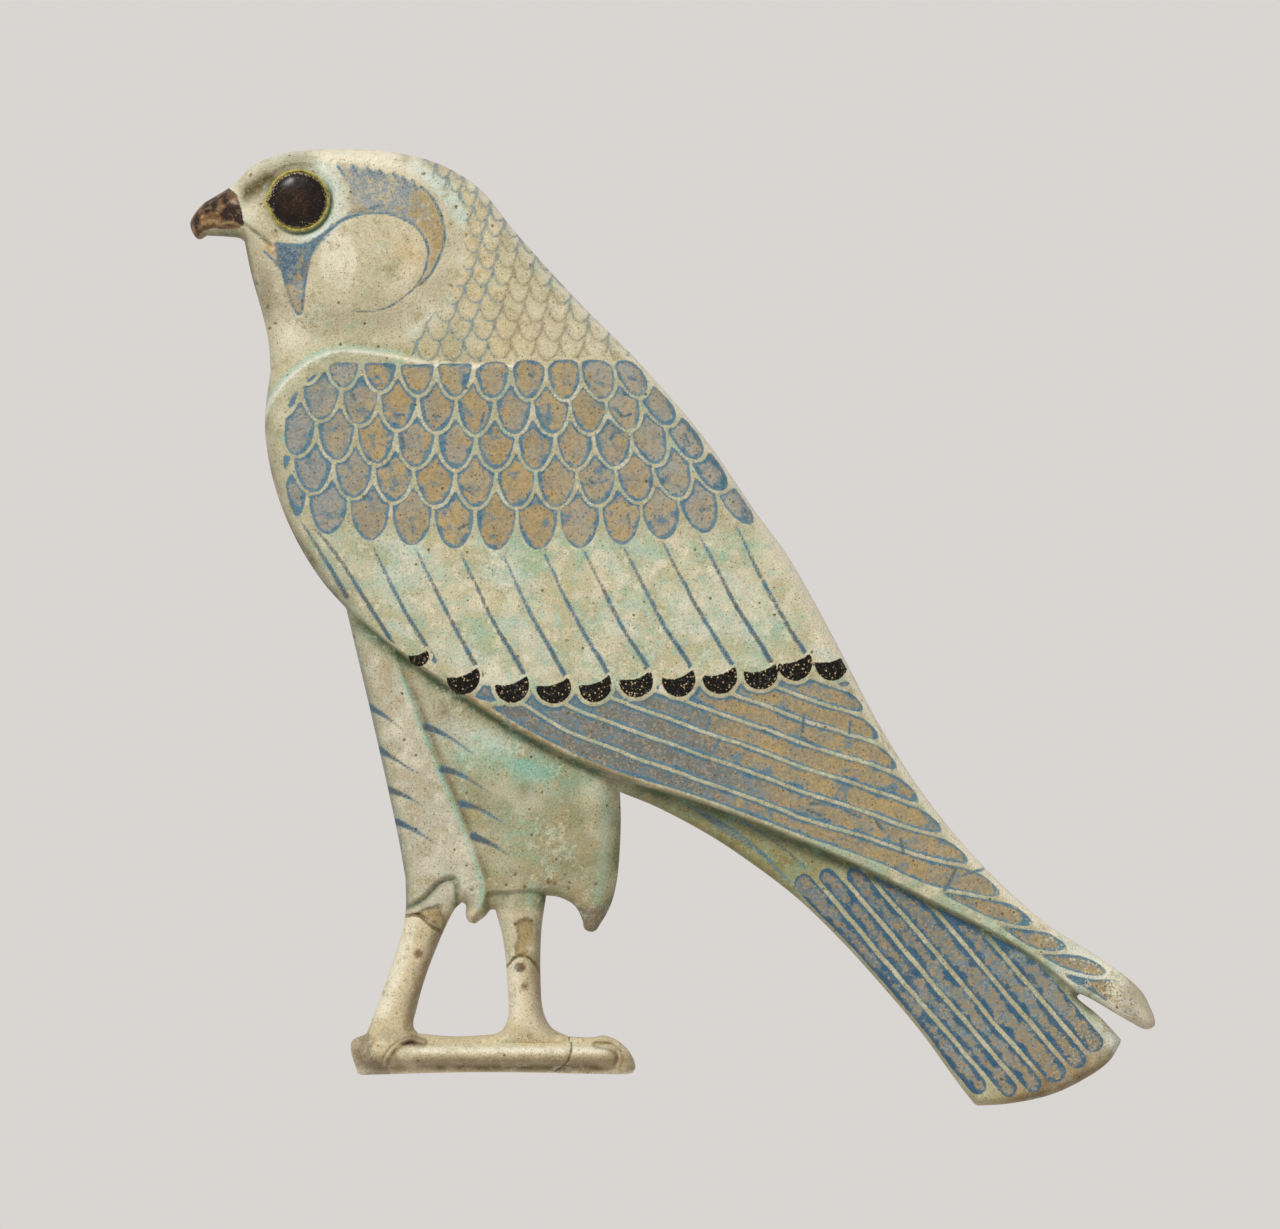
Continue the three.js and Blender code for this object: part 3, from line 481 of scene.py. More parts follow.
def ripple(x, z, size, seed):
    """Smooth random waves from -1 to 1, about as wide as size."""
    table = np.random.default_rng(seed).uniform(-1, 1, (256, 256))
    u, v = x / size + 128, z / size + 128
    i, j = np.floor(u).astype(int), np.floor(v).astype(int)
    fu, fv = u - i, v - j
    fu, fv = fu * fu * (3 - 2 * fu), fv * fv * (3 - 2 * fv)
    i, j = i % 255, j % 255
    low = mix(table[i, j], table[i + 1, j], fu)
    high = mix(table[i, j + 1], table[i + 1, j + 1], fu)
    return mix(low, high, fv)


OUTER = loop(OUTLINE)
INNER = loop(OPENING)
FAR = 9.0


class Places:
    """Points of the front, in units, with their distances to the lines of the relief."""

    def __init__(self, x, z):
        self.x, self.z = x, z
        # the painter's hand: the pattern wavers a little
        self.hand_x = x + 0.10 * ripple(x, z, 3.4, 11) + 0.03 * ripple(x, z, 1.1, 12)
        self.hand_z = z + 0.10 * ripple(x, z, 3.4, 13) + 0.03 * ripple(x, z, 1.1, 14)
        self.rim, place = on_outline(x, z)
        # how far the nearest edge lies to the right of the point and below it, from -1 to 1
        self.edge_right = (place[:, 0] - x) / np.maximum(self.rim, 1e-3)
        self.edge_below = (z - place[:, 1]) / np.maximum(self.rim, 1e-3)
        self.above_wing_edge = self.signed(WING_EDGE)
        self.below_shoulder = -self.signed(SHOULDER)
        self.on_fore_thigh = -self.signed(LEG_RIDGE)
        self.above_fore_hem = self.signed(FORE_HEM)
        self.above_hind_hem = self.signed(HIND_HEM)
        out_x, out_z = (x - EYE_CENTRE[0]) / EYE_REACH[0], (z - EYE_CENTRE[1]) / EYE_REACH[1]
        self.from_eye = (np.hypot(out_x, out_z) - 1 - 0.09 * eye_corner(out_x, out_z)) * EYE_REACH[0]

    def signed(self, line):
        distance, side, _, _ = nearest(self.x, self.z, curve(line))
        return distance * side

    def from_line(self, line):
        return nearest(self.x, self.z, curve(line), False, FAR)[0]

    def drawn(self, line, reach=3.0):
        """Distance to a painted line and the share along it, where the painter's hand put it."""
        distance, _, share, _ = nearest(self.hand_x, self.hand_z, curve(line), False, reach)
        return distance, share

    def patch(self, polygon):
        """How far inside a painted patch a point is, negative outside."""
        outline = curve(polygon + polygon[:1], 5)[:-1]
        distance = nearest(self.hand_x, self.hand_z, outline, True, 3.0)[0]
        return np.where(inside(self.hand_x, self.hand_z, outline), distance, -distance)

    def from_spot(self, centre):
        return np.hypot(self.hand_x - centre[0], self.hand_z - centre[1])

    def blot(self, x, z, wide, tall=None):
        """A soft oval spot, one in its middle."""
        return bead(np.hypot((self.x - x) / wide, (self.z - z) / (tall or wide)), 1.0)


def rounded_end(dx, dz, half_width, depth):
    """How far inside a shape with straight sides and a half-oval lower end a point is."""
    radius = np.hypot(dx / half_width, dz / depth)
    slope = np.hypot(dx / half_width ** 2, dz / depth ** 2)
    oval = (1 - radius) * radius / np.maximum(slope, 1e-6)
    return np.where(dz > 0, np.maximum(oval, -FAR), half_width - np.abs(dx))


def short_feathers(p):
    """Distance inside each short feather's filling, how tan it is and its number."""
    x, z = p.hand_x, p.hand_z
    top = mix(FEATHER_TOPS[0], FEATHER_TOPS[1], across(-22, -15, x))
    cell = np.full(x.size, -FAR)
    tan = np.zeros(x.size)
    number = np.zeros(x.size)
    over = np.full(x.size, -FAR)
    chance = np.random.default_rng(FEATHER_CHANCE)
    for count, first, last, front, middle, rear in FEATHER_ROWS:
        own = np.full(x.size, -FAR)
        rival = np.full(x.size, -FAR)
        cover = np.full(x.size, -FAR)
        pitch = (last - first) / (count - 1)
        half = (pitch - THREAD) / 2
        for k in range(-1, count + 1):
            t = k / (count - 1)
            centre = mix(first, last, t)
            lower = front + (4 * middle - 3 * front - rear) * t + 2 * (front + rear - 2 * middle) * t * t
            lean = FEATHER_LEAN * float(across(0.68, 1.0, t))
            dx = x - centre + lean * (z - lower)
            own_k = rounded_end(dx, lower + FEATHER_DEPTH - z, half, FEATHER_DEPTH)
            own_k = np.where(z > lower + FEATHER_REACH, -FAR, own_k)
            if count == FEATHER_ROWS[0][0] and t > 0.45:
                own_k = np.minimum(own_k, rounded_end(dx, z - top + FEATHER_TOP_OVAL, half, FEATHER_TOP_OVAL))
            warmth = across(0.0, 0.22, t) * (1 - 0.65 * across(0.6, 1.0, t)) * (0.55 + 0.6 * chance.random())
            here = (own_k > own) & (own_k > over)
            tan = np.where(here, warmth, tan)
            number = np.where(here, chance.random(), number)
            rival = np.maximum(rival, np.minimum(own, own_k))
            own = np.maximum(own, own_k)
            cover = -joined(-cover, -own_k, 0.6)
        own = np.minimum(own, (own - rival - THREAD) / 2)
        cell = np.maximum(cell, np.minimum(own, (-over - THREAD) * CUSP))
        over = np.maximum(over, cover)
    front_margin = mix(mix(1.0, 2.4, across(12.5, 24, z)), 0.35, across(-37, -20, x))
    top_margin = mix(1.7, -0.8, across(-40, -18, x))
    top = np.minimum(p.below_shoulder - top_margin, top - z)
    cell = joined(joined(cell, p.rim - front_margin, 0.9), top, 0.4)
    return cell, tan, number


def black_tips(p):
    """Distance inside the black crescents, and distance outside the feather ends that hold them."""
    black = np.full(p.x.size, -FAR)
    outside = np.full(p.x.size, FAR)
    for i, (x, z) in enumerate(TIPS):
        size = 0.62 if i == 0 else 1.0
        from_end = p.from_spot((x - 0.1, z + 0.5))
        from_hollow = p.from_spot((x - 0.1 + TIP_HOLLOW[0] * size, z + 0.5 + TIP_HOLLOW[1] * size))
        crescent = np.minimum(TIP_REACH * size - from_end, from_hollow - TIP_HOLLOW_REACH * size)
        black = np.maximum(black, crescent)
        outside = np.minimum(outside, from_end - TIP_REACH * size - TIP_BORDER)
    return black, outside


def lip_width(x):
    """Width of the plain lip along the wing's lower edge."""
    return mix(0.6, 1.25, across(12, 24, x)) * mix(1, 0.45, across(28, 40, x))


def long_feathers(p, outside_tips):
    """Distance inside each long feather's filling, and how tan it is."""
    x, z = p.hand_x, p.hand_z
    main = curve(LONG_RIDGE)
    base = np.interp(x, main[:, 0], main[:, 1])
    slope = np.interp(x, main[1:, 0], np.diff(main[:, 1]) / np.diff(main[:, 0]))
    flat = 1 / np.sqrt(1 + slope ** 2)
    number = np.zeros(x.size)
    gap = np.full(x.size, FAR)
    for i in range(LONG_RIDGES):
        off = (z - base - i * (LONG_PITCH - LONG_PITCH_LOSS * i)) * flat
        number = np.where(off > 0, i + 1, number)
        gap = np.minimum(gap, np.abs(off))
    for i, line in enumerate(TIP_RIDGES):
        distance, side, _, _ = nearest(x, z, curve(line), False, FAR)
        gap = np.minimum(gap, distance)
        below = (side < 0) & (z < base - 0.5) & (x > line[0][0])
        number = np.where(below, -i - 1, number)
    tip_line = nearest(x, z, np.array(TIPS))
    below_tips = -tip_line[0] * tip_line[1]
    cell = np.minimum(np.minimum(gap - 0.2, outside_tips), below_tips)
    cell = joined(joined(cell, p.above_wing_edge - lip_width(x), 0.5), p.rim - 0.6, 1.2)
    cell = np.minimum(cell, (WING_END - x) * 0.5)
    turn = np.array(LONG_TURNS)[number.astype(int)]
    return cell, across(-3.5, 5.5, x - turn)


def tail_feathers(p):
    """Distance inside each tail feather's filling, and how far down the tail the point is."""
    dx, dz = p.hand_x - TAIL_ORIGIN[0], p.hand_z - TAIL_ORIGIN[1]
    along = dx * TAIL_AXIS[0] + dz * TAIL_AXIS[1]
    beside = dz * TAIL_AXIS[0] - dx * TAIL_AXIS[1]
    cell = np.full(p.x.size, -FAR)
    for left, right, start, end in zip(TAIL_RIDGES, TAIL_RIDGES[1:], TAIL_STARTS, TAIL_ENDS):
        half = (right - left) / 2 - TAIL_THREAD
        off = beside - (right + left) / 2
        over = np.maximum(along - (end - half), start + half - along)
        cell = np.maximum(cell, np.where(over > 0, half - np.hypot(off, over), half - np.abs(off)))
    under = -p.above_wing_edge - 0.25
    behind = across(-6.0, -5.0, p.x) * FAR - FAR / 2
    cell = np.minimum(cell, np.minimum(np.minimum(under, behind), p.rim - 0.35))
    return cell, along


def nape_scales(p):
    """Distance to the net of lines round the nape's scales, and how far behind their border a point is."""
    x, z = p.hand_x, p.hand_z
    net = np.full(x.size, FAR)
    over = np.full(x.size, -FAR)
    for row in reversed(range(-1, SCALE_ROWS)):
        pitch = SCALE_PITCH[0] - SCALE_PITCH_LOSS[0] * row
        lower = SCALE_START[1] + SCALE_PITCH[1] * row - SCALE_PITCH_LOSS[1] * row * row
        start = SCALE_START[0] + SCALE_DRIFT * row + pitch * (row % 2) / 2
        dx = (x - start + pitch / 2) % pitch - pitch / 2
        own = rounded_end(dx, lower + SCALE_DEPTH - z, pitch / 2, SCALE_DEPTH)
        own = np.where(z > lower + 2 * SCALE_DEPTH, -FAR, own)
        net = np.minimum(net, np.maximum(np.abs(own), over))
        over = np.maximum(over, own)
    border = nearest(x, z, curve(SCALE_BORDER))
    behind = -border[0] * border[1] + 0.5 * ripple(x, z, 1.6, 31)
    return net, behind


def middle_grooves(p):
    """Distance to the grooves between the middle feathers, less half of their painted width."""
    lines = list(FRONT_GROOVES)
    for k in range(1, GROOVES):
        start = (GROOVE_FIRST[0] + (GROOVE_PITCH[0] + GROOVE_PITCH[1] * k) * k,
                 GROOVE_FIRST[1] + GROOVE_RISE * (k - 4) ** 2)
        end = [(TIPS[k - 1][i] + TIPS[k][i]) / 2 + GROOVE_END[i] for i in (0, 1)]
        middle = ((start[0] + end[0]) / 2 - GROOVE_BOW, (start[1] + end[1]) / 2 - GROOVE_BOW / 2)
        lines.append((start, middle, tuple(end)))
    found = np.full(p.x.size, FAR)
    for line in lines:
        distance, share = p.drawn(line, reach=2.0)
        half = 0.07 + 0.17 * np.clip(share, 0, 1) ** 0.6
        found = np.minimum(found, distance - half)
    return found


def height_of(p, sizes):
    """Height of the front above the flat back, in millimetres."""
    def mm(name):
        return getattr(sizes, name) / MM

    x, z = p.x, p.z
    rim = p.rim * UNIT_MM
    step = 0.26
    in_wing = across(-step, step, p.above_wing_edge)
    under_shoulder = across(-step, step, p.below_shoulder)
    front_thigh = across(-step, step, p.on_fore_thigh)

    # wing, neck and head
    along = ((x + 40) * 0.82 - (z - 22) * 0.57) / 109
    inward = np.minimum(rim, np.maximum(p.above_wing_edge * UNIT_MM, 0))
    wing = mix(mm("wing"), mm("wing_tip"), across(0.35, 1, along))
    wing = wing - 0.1 * mm("wing") * (1 - quarter(inward / mm("wing")))
    skull = np.hypot((x - SKULL_CENTRE[0]) / SKULL_REACH[0], (z - SKULL_CENTRE[1]) / SKULL_REACH[1])
    neck = mix(mm("neck"), wing, across(-31, -15, x))
    neck = neck + (mm("head") - mm("neck")) * (1 - across(0.72, 1.16, skull))
    neck = mix(neck, mm("beak"), across(-44.5, -50, x))
    upper = mix(neck, wing, under_shoulder)

    # thighs, legs and foot
    fore = mix(mm("fore_thigh"), mm("trouser"), across(-10, -30, z))
    hind = mix(mm("hind_thigh"), mm("trouser"), across(-12, -30, z))
    toes = mm("foot") + (mm("toe") - mm("foot")) * np.sqrt(1 - np.clip((z + 44.5) / 1.45, -1, 1) ** 2)
    ledge = mix(toes, (mm("foot") + mm("toe")) / 2, across(-43.9, -43.4, z))
    leg = mix(ledge, mm("leg"), across(-43.3, -41.6, z))
    fore_limb = mix(leg, fore, across(-step, step, p.above_fore_hem))
    hind_limb = mix(leg, hind, across(-step, step, p.above_hind_hem))
    limbs = np.where(z < -33, leg, mix(hind_limb, fore_limb, front_thigh))
    gone = across(-31.2, -33.6, x + 0.3 * ripple(x, z, 1.1, 21)) * across(-41.5, -42.5, z)
    limbs = mix(limbs, mm("broken_end"), gone)

    # tail, behind the thigh
    along_tail = (x - TAIL_ORIGIN[0]) * TAIL_AXIS[0] + (z - TAIL_ORIGIN[1]) * TAIL_AXIS[1]
    tail = mix(mm("tail_root"), mm("tail_end"), across(-25, 30, along_tail))
    lower = mix(tail, limbs, quarter(1 - across(-8.6, -5.6, x)))
    top = mix(lower, upper, in_wing)

    # inlaid cells, then carved lines and spots by their depth, distance and half width; raised where negative
    top = top - mm("cell_sink") * across(-0.1, 0.25, p.short) - mm("long_sink") * across(-0.2, 0.2, p.long)
    for depth, distance, half_width in (
        (mm("groove"), np.maximum(p.groove, 0), 0.25),
        (0.06 * across(-0.2, 0.5, p.nape), p.net, 0.15),
        (0.1, p.paint, 0.1),
        (0.5, np.maximum(p.crack, 0), 0.12),
        (1.0, p.from_line(BROW), 0.95),
        (0.5, p.from_line(MOUTH), 0.26),
        (-0.25, np.hypot(x - GAPE[0], z - GAPE[1]) - 0.45, 0.2),
        (-0.5, p.from_line(FRONT_CLAW), 0.3),
        (0.4, p.from_line(REAR_CLAW), 0.25),
        *((0.35, p.from_spot(spot), 0.22) for spot in PITS),
    ):
        top = top - depth * bead(distance, half_width)
    top = top - 0.6 * across(-step, step, -p.signed(MANDIBLE)) * across(-44.2, -45.2, x)

    # toe: a rounded bar with a groove all round, and the crumbled breaks of the legs
    from_toe = p.from_line(TOE) - TOE_REACH
    top = top + np.where(from_toe < 2, 0.8 * quarter(-from_toe) - 0.45 * bead(from_toe - 0.12, 0.2), 0)
    for crumbs in (FORE_CRUMBS, HIND_CRUMBS):
        loose = across(-0.1, 0.35, p.patch(crumbs))
        top = top - loose * (0.55 + 0.3 * ripple(x, z, 0.45, 22))
    top = top - 0.5 * across(-0.3, 0.3, p.patch(FRACTURE)) * (1 + ripple(x, z, 0.9, 23))
    top = top - 0.25 * bead(p.above_fore_hem + 0.25, 0.2) * across(-33, -30, z) * across(-20, -21.5, x)

    # rim round the eye, and the seat that the eye hides
    lid = 0.6 * bead(p.from_eye - 0.16, 0.17) - 1.2 * across(0.0, -0.35, p.from_eye)
    lid = lid - 0.4 * bead(p.from_eye - 0.62, 0.3)
    top = top + np.where(p.from_eye < 3, lid, 0)

    # a worn, hand-finished surface
    top = top + 0.1 * ripple(x, z, 6, 1) + 0.05 * ripple(x, z, 1.6, 2) + 0.015 * ripple(x, z, 0.5, 3)

    # rounded edge: tighter on the tail, wide on the thigh and full on the legs
    round_wing, round_thigh, round_tail, round_leg = 2.6, 5.0, 1.5, 2.9
    on_leg = np.where(x < -12, across(-29.5, -31, z), 0)
    on_tail = (1 - in_wing) * across(-5.6, -5, x)
    beside_thigh = across(-15, -9, x) * (1 - across(-6.4, -5.4, x))
    on_thigh = np.where(z > -33, (1 - in_wing) * beside_thigh, 0)
    radius = mix(mix(round_wing, round_thigh, on_thigh), round_tail, on_tail)
    radius = mix(radius, round_leg, on_leg * across(-43.5, -41.5, z))
    wall = np.minimum(top, mix(4.2, 2.8, np.maximum(on_tail, on_leg)))
    return wall + (top - wall) * quarter(rim / radius)


def add_patterns(p):
    """Adds the fields that the relief and the paint share to the points."""
    p.short, p.short_tan, p.short_number = short_feathers(p)
    p.black, outside_tips = black_tips(p)
    p.long, p.long_tan = long_feathers(p, outside_tips)
    p.tail, p.along_tail = tail_feathers(p)
    p.net, p.nape = nape_scales(p)
    above_tips, side, _, _ = nearest(p.x, p.z, np.array(TIPS))
    free = (p.black < -0.2) & (above_tips * side > 0.1) & (p.above_wing_edge > 0.25)
    p.groove = np.where(free, middle_grooves(p), FAR)
    p.middle = across(-0.2, 0.2, p.above_wing_edge) * across(-0.3, 0.3, p.below_shoulder)
    p.middle = p.middle * across(11.0, 8.5, p.z) * across(-0.3, 0.3, above_tips * side)

    # painted lines: their half width, and how much of it is gone at their end
    strokes = (((CHEEK,), 0.125, 0.75), ((OUTER_ARC,), 0.1, 0.2), (MOUSTACHE_LINES, 0.1, 0),
               (TEMPLE_DASHES, 0.12, 0.6), (FEATHER_MARKS, 0.16, 0.5), (THIGH_DASHES, 0.4, 0.98),
               (TAIL_ROOT_LINES, 0.1, 0), (CROSS_MARKS, 0.14, 0))
    p.paint = np.full(p.x.size, FAR)
    for lines, half_width, taper in strokes:
        for line in lines:
            distance, share = p.drawn(line)
            p.paint = np.minimum(p.paint, distance - half_width * (1 - taper * share))
    p.crack = np.full(p.x.size, FAR)
    for line, half_width in ((FORE_BREAK, 0.1), (HIND_BREAK, 0.05), (FOOT_CRACK, 0.02)):
        p.crack = np.minimum(p.crack, p.drawn(line)[0] - half_width)


def ground_colours(p, colours):
    """The ground's colour at each point: broad areas that pass softly into each other, with painted highlights
    and painted shade laid in.
    """
    x, z = p.x, p.z
    wave = ripple(x, z, 3.0, 41)
    small = ripple(x, z, 1.1, 42)
    ground = np.tile(np.array(colours.cream), (x.size, 1))

    def lay(name, share):
        nonlocal ground
        ground = ground + (np.array(getattr(colours, name)) - ground) * np.clip(share, 0, 1)[:, None]

    in_wing = across(-0.2, 0.2, p.above_wing_edge)
    under_shoulder = across(-0.3, 0.3, p.below_shoulder)
    back_edge = across(-0.2, 0.6, p.edge_right) * across(0.3, -0.3, p.edge_below) * across(-25, -20, x)

    # head and neck
    head = 1 - under_shoulder
    nape = across(-0.4, 0.6, p.nape) * head
    crescent = p.patch(CRESCENT)
    # painted highlight along the top edge of the head, over its cream glaze
    lay("crown", across(3.2, 0.8, p.rim) * across(40, 46, z) * across(-21, -27, x))
    lay("crown", 0.6 * across(-42.5, -45.0, x) * across(41, 43, z))
    # painted highlight low on the throat
    lay("crown", 0.5 * p.blot(-39.5, 30.5, 2.0))
    lay("tan_cream", nape * across(-13, -18, x + 0.4 * (z - 31)))
    lay("olive", 0.5 * nape * p.blot(-22.0, 30.5, 2.6))
    lay("tan", 0.25 * nape * across(0.2, 0.9, small))
    lay("tan_cream", 0.8 * p.blot(-27.8, 38.5, 2.4))
    lay("amber", 0.3 * p.blot(-27.2, 38.9, 1.2))
    lay("tan", 0.75 * across(-0.1, 0.5, crescent))
    lay("tan", 0.6 * across(-0.1, 0.4, crescent) * across(-28.5, -26.5, x))
    lay("crown", 0.6 * across(1.15, 0.85, np.hypot((x + 34.7) / 2.0, (z - 38.2) / 2.9) + 0.15 * small))
    lay("olive", 0.75 * p.blot(-29.6, 37.2, 2.1, 1.4) * across(-0.8, 0.4, wave + 0.3 * small))
    lay("olive", 0.6 * p.blot(-31.8, 34.6, 1.44, 0.9))
    # darker olive band under the cheek and above the shoulder: olive glaze, with painted shade where the head
    # turns down to the neck
    above_shoulder = bead(p.below_shoulder + 2.8, 2.2) * across(-16, -26, x) * across(-42, -38.5, x)
    lay("olive", 0.25 * head * above_shoulder)
    lay("moss", 0.22 * head * p.blot(-37.3, 32.2, 1.6, 1.0))
    # painted highlight low on the throat
    lay("crown", 0.6 * head * p.blot(-39.4, 30.6, 1.0, 1.6))
    lay("olive", 0.3 * head * across(0.0, 0.8, wave))
    lay("turquoise", 0.5 * head * p.blot(-33.4, 31.3, 0.35))
    lay("earth", 0.4 * bead(x + 27.8, 0.6) * across(47.2, 48.6, z))
    lay("ice", 0.85 * across(2.9, 1.0, p.from_eye) * across(-42, -38, x + 0.3 * (z - 42)))
    lay("ice", 0.85 * across(-0.5, 0.3, p.patch(NAPE_PATCH)))
    lay("ice", 0.5 * bead(p.from_line(SCALE_BORDER), 0.8) * across(0.2, -0.5, small))
    # painted shade in the brow's carved hollow, in olive and dark olive
    brow = p.from_line(BROW)
    lay("olive", 0.8 * bead(brow, 1.2) * across(-35.5, -38.5, x))
    lay("moss", bead(brow, 1.0) * across(-36.5, -40.5, x) * across(-45.4, -44.4, x))
    lay("moss", 0.85 * bead(p.from_line(MOUTH), 0.2))
    lay("amber", 0.9 * bead(p.from_spot(GAPE) - 0.5, 0.22) * across(40.2, 39.8, z))
    # painted shade: grey over the throat
    lay("stone", 0.55 * p.blot(-42.4, 35.0, 1.5, 3.6))
    lay("olive", across(41.9, 41.6, z) * across(-44.0, -44.8, x))
    lay("moss", 0.7 * across(0.55, 0.2, p.rim) * across(34, 36, z) * across(-40, -43, x) * across(42, 41, z))
    lay("olive", 0.5 * bead(p.below_shoulder + 0.7, 0.4) * across(-16, -22, x) * across(-38, -33, x))

    # wing
    wing = in_wing * under_shoulder
    lay("rim", wing)
    lay("olive", 0.3 * wing * across(-31, -34, x))
    lay("pale", 0.35 * wing * across(2.4, 0.6, p.rim) * across(-30, -34, x))
    middle = p.middle
    lay("pale", middle)
    lay("tan", 0.12 * middle)
    lay("turquoise", middle * 0.4 * across(0.1, 0.8, wave))
    lay("tan_cream", middle * 0.35 * across(0.0, 0.8, -wave))
    lay("lid", middle * 0.16 * across(-0.3, 0.7, small))
    lay("crown", middle * 0.3 * across(0.1, 0.8, -small))
    lay("ice", middle * 0.4 * across(-0.1, 0.7, ripple(x + z, z, 2.6, 44)))
    lay("turquoise", middle * 0.5 * bead(z - 8.0, 1.6) * across(-0.3, 0.5, small) * across(-22, -8, x))
    lay("olive", middle * 0.6 * across(-30, -33, x))
    lay("turquoise", wing * 0.45 * across(0.3, 0.9, small) * (1 - middle))
    lay("crown", wing * 0.3 * across(0.2, 0.8, -small) * (1 - middle))
    lip = wing * across(0.3, -0.1, p.above_wing_edge - lip_width(x))
    lay("tan", 0.6 * lip * across(4, -3, x) * across(-25, -20, x))
    lay("earth", 0.6 * lip * across(2, -3, x) * across(-25, -20, x) * across(-0.7, 0.5, small))
    lay("olive", 0.75 * lip * across(0, 6, x) * across(20, 12, x))
    lay("turquoise", 0.4 * lip * across(10, 18, x) * across(-0.8, 0.4, small))
    # cream along the back edge and the middle feathers' rim, brightened as a painted highlight on the rounded
    # edge
    lay("crown", 0.95 * back_edge * across(1.25, 0.35, p.rim) * in_wing)
    lay("crown", 0.5 * middle * across(2.4, 0.8, p.rim) * across(0, 6, x))
    lay("ice", 0.7 * wing * across(39.0, 42.0, x + small))
    lay("crown", 0.7 * wing * across(43.0, 46.0, x + small))
    lay("earth", 0.55 * wing * across(46.4, 48.0, x + 0.5 * small))
    lay("amber", 0.22 * wing * p.blot(-33.5, 22.6, 2.0))
    lay("earth", 0.22 * wing * across(1.8, 0.2, p.rim) * across(-38.5, -41, x) * across(13, 16, z))
    front_edge = across(0.55, 0.15, p.rim) * across(-31, -34, x) * across(27, 24, z)
    lay("earth", front_edge * (0.35 + 0.6 * across(-0.1, 0.7, small + 0.4 * across(12, 4, z))) * in_wing)
    breast = across(-32, -35, x) * bead(z - 8.0, 3.0) * in_wing
    lay("moss", 0.9 * across(0.75, 0.2, p.rim + 0.3 * small) * breast)

    # the bright line along the shoulder: a painted highlight on the upper edge of the wing's step, with the
    # glaze's pale blue-white and turquoise
    lay("crown", bead(p.below_shoulder - 0.12, 0.26) * across(-13, -17, x) * in_wing)
    lay("ice", 0.9 * bead(p.below_shoulder - 0.05, 0.3) * across(-27, -33, x) * in_wing)
    lay("turquoise", 0.6 * bead(p.below_shoulder + 0.25, 0.18) * across(-22, -30, x) * in_wing)

    # thighs
    below = 1 - in_wing
    thigh = below * across(-5.0, -5.8, x) * across(-30.5, -28.5, z)
    rear = thigh * across(0.3, -0.3, p.on_fore_thigh)
    lay("ash", thigh)
    lay("earth", thigh * 0.08 + rear * 0.1)
    lay("tan", thigh * 0.4 * across(0.1, 0.9, small - 0.3 * wave) * (1 - rear))
    lay("earth", thigh * 0.55 * p.blot(-28.2, -14.0, 1.3, 1.0) * across(-0.7, 0.3, small))
    lay("crown", thigh * 0.3 * (1 - rear) * across(0.0, 0.8, -small))
    lay("olive", thigh * (1 - rear) * 0.6 * across(1.3, 0.2, p.rim))
    lay("slate", thigh * 0.6 * across(0.55, 0.15, p.rim) * across(-26, -28, x))
    lay("olive", rear * (0.3 + 0.7 * across(-10, -17, z)))
    lay("ice", rear * 0.8 * p.blot(-19.5, -11.6, 3.4, 1.6))
    lay("earth", rear * 0.6 * p.blot(-24.0, -8.6, 0.9) * across(-0.6, 0.2, small))
    bloom = bead(np.hypot((x + 12.8) / 6.8, (z + 14.3 + 0.12 * (x + 13)) / 2.4), 1.0)
    bloom = bloom + 0.5 * (p.blot(-16, -21, 2.2) + p.blot(-22, -13.4, 0.7)) + 0.4 * p.blot(-20.4, -11.6, 0.6)
    lay("turquoise", rear * 1.3 * bloom * across(-0.9, 0.0, small))
    lay("green", rear * 0.3 * across(0.1, 0.8, ripple(x, z, 2.2, 43)) * across(-11, -14, z))
    lay("lid", rear * 0.1 * across(-0.3, 0.6, wave))
    lay("earth", rear * 0.2 * across(-13, -17, z))
    lay("tan", rear * 0.45 * across(0.1, 0.9, small) * across(-15, -20, z))
    lay("turquoise", rear * 0.4 * bead(p.rim - 1.6, 0.6) * across(0.2, 0.8, p.edge_right))
    # green glaze along the hind thigh's right edge, darkened as painted shade where the edge turns from the light
    lay("green", rear * 0.7 * across(1.3, 0.1, p.rim) * across(0.0, 0.7, p.edge_right))
    lay("turquoise", thigh * 0.7 * bead(p.on_fore_thigh - 0.15, 0.3))
    # painted shadow on the hind thigh just below the fore thigh's step
    lay("moss", rear * 0.65 * bead(p.on_fore_thigh + 0.45, 0.35))

    # tail root
    root = below * across(-5.8, -5.0, x)
    uncovered = root * across(3, -1, p.along_tail)
    lay("root", root)
    lay("tan", uncovered * 0.4 * across(0.0, 0.8, small))
    lay("turquoise", uncovered * 0.2 * across(0.1, 0.9, -small))
    lay("moss", uncovered * 0.3 * across(-0.4, 0.8, wave))
    lay("rim", root * across(-3, 2, p.along_tail) * 0.8)
    lay("olive", root * across(2, 6, p.along_tail) * 0.35)
    lay("tan", root * across(27.0, 29.5, p.along_tail) * 0.85)
    lay("earth", root * across(28.0, 30.5, p.along_tail) * 0.9 * across(-1.4, -0.1, small))
    beside = (x - TAIL_ORIGIN[0]) * -TAIL_AXIS[1] + (z - TAIL_ORIGIN[1]) * TAIL_AXIS[0]
    lay("ice", 0.7 * root * across(7.8, 8.8, beside))

    # legs and foot
    legs = across(-29.0, -31.0, z) * across(-2, -3, x)
    lay("bone", legs)
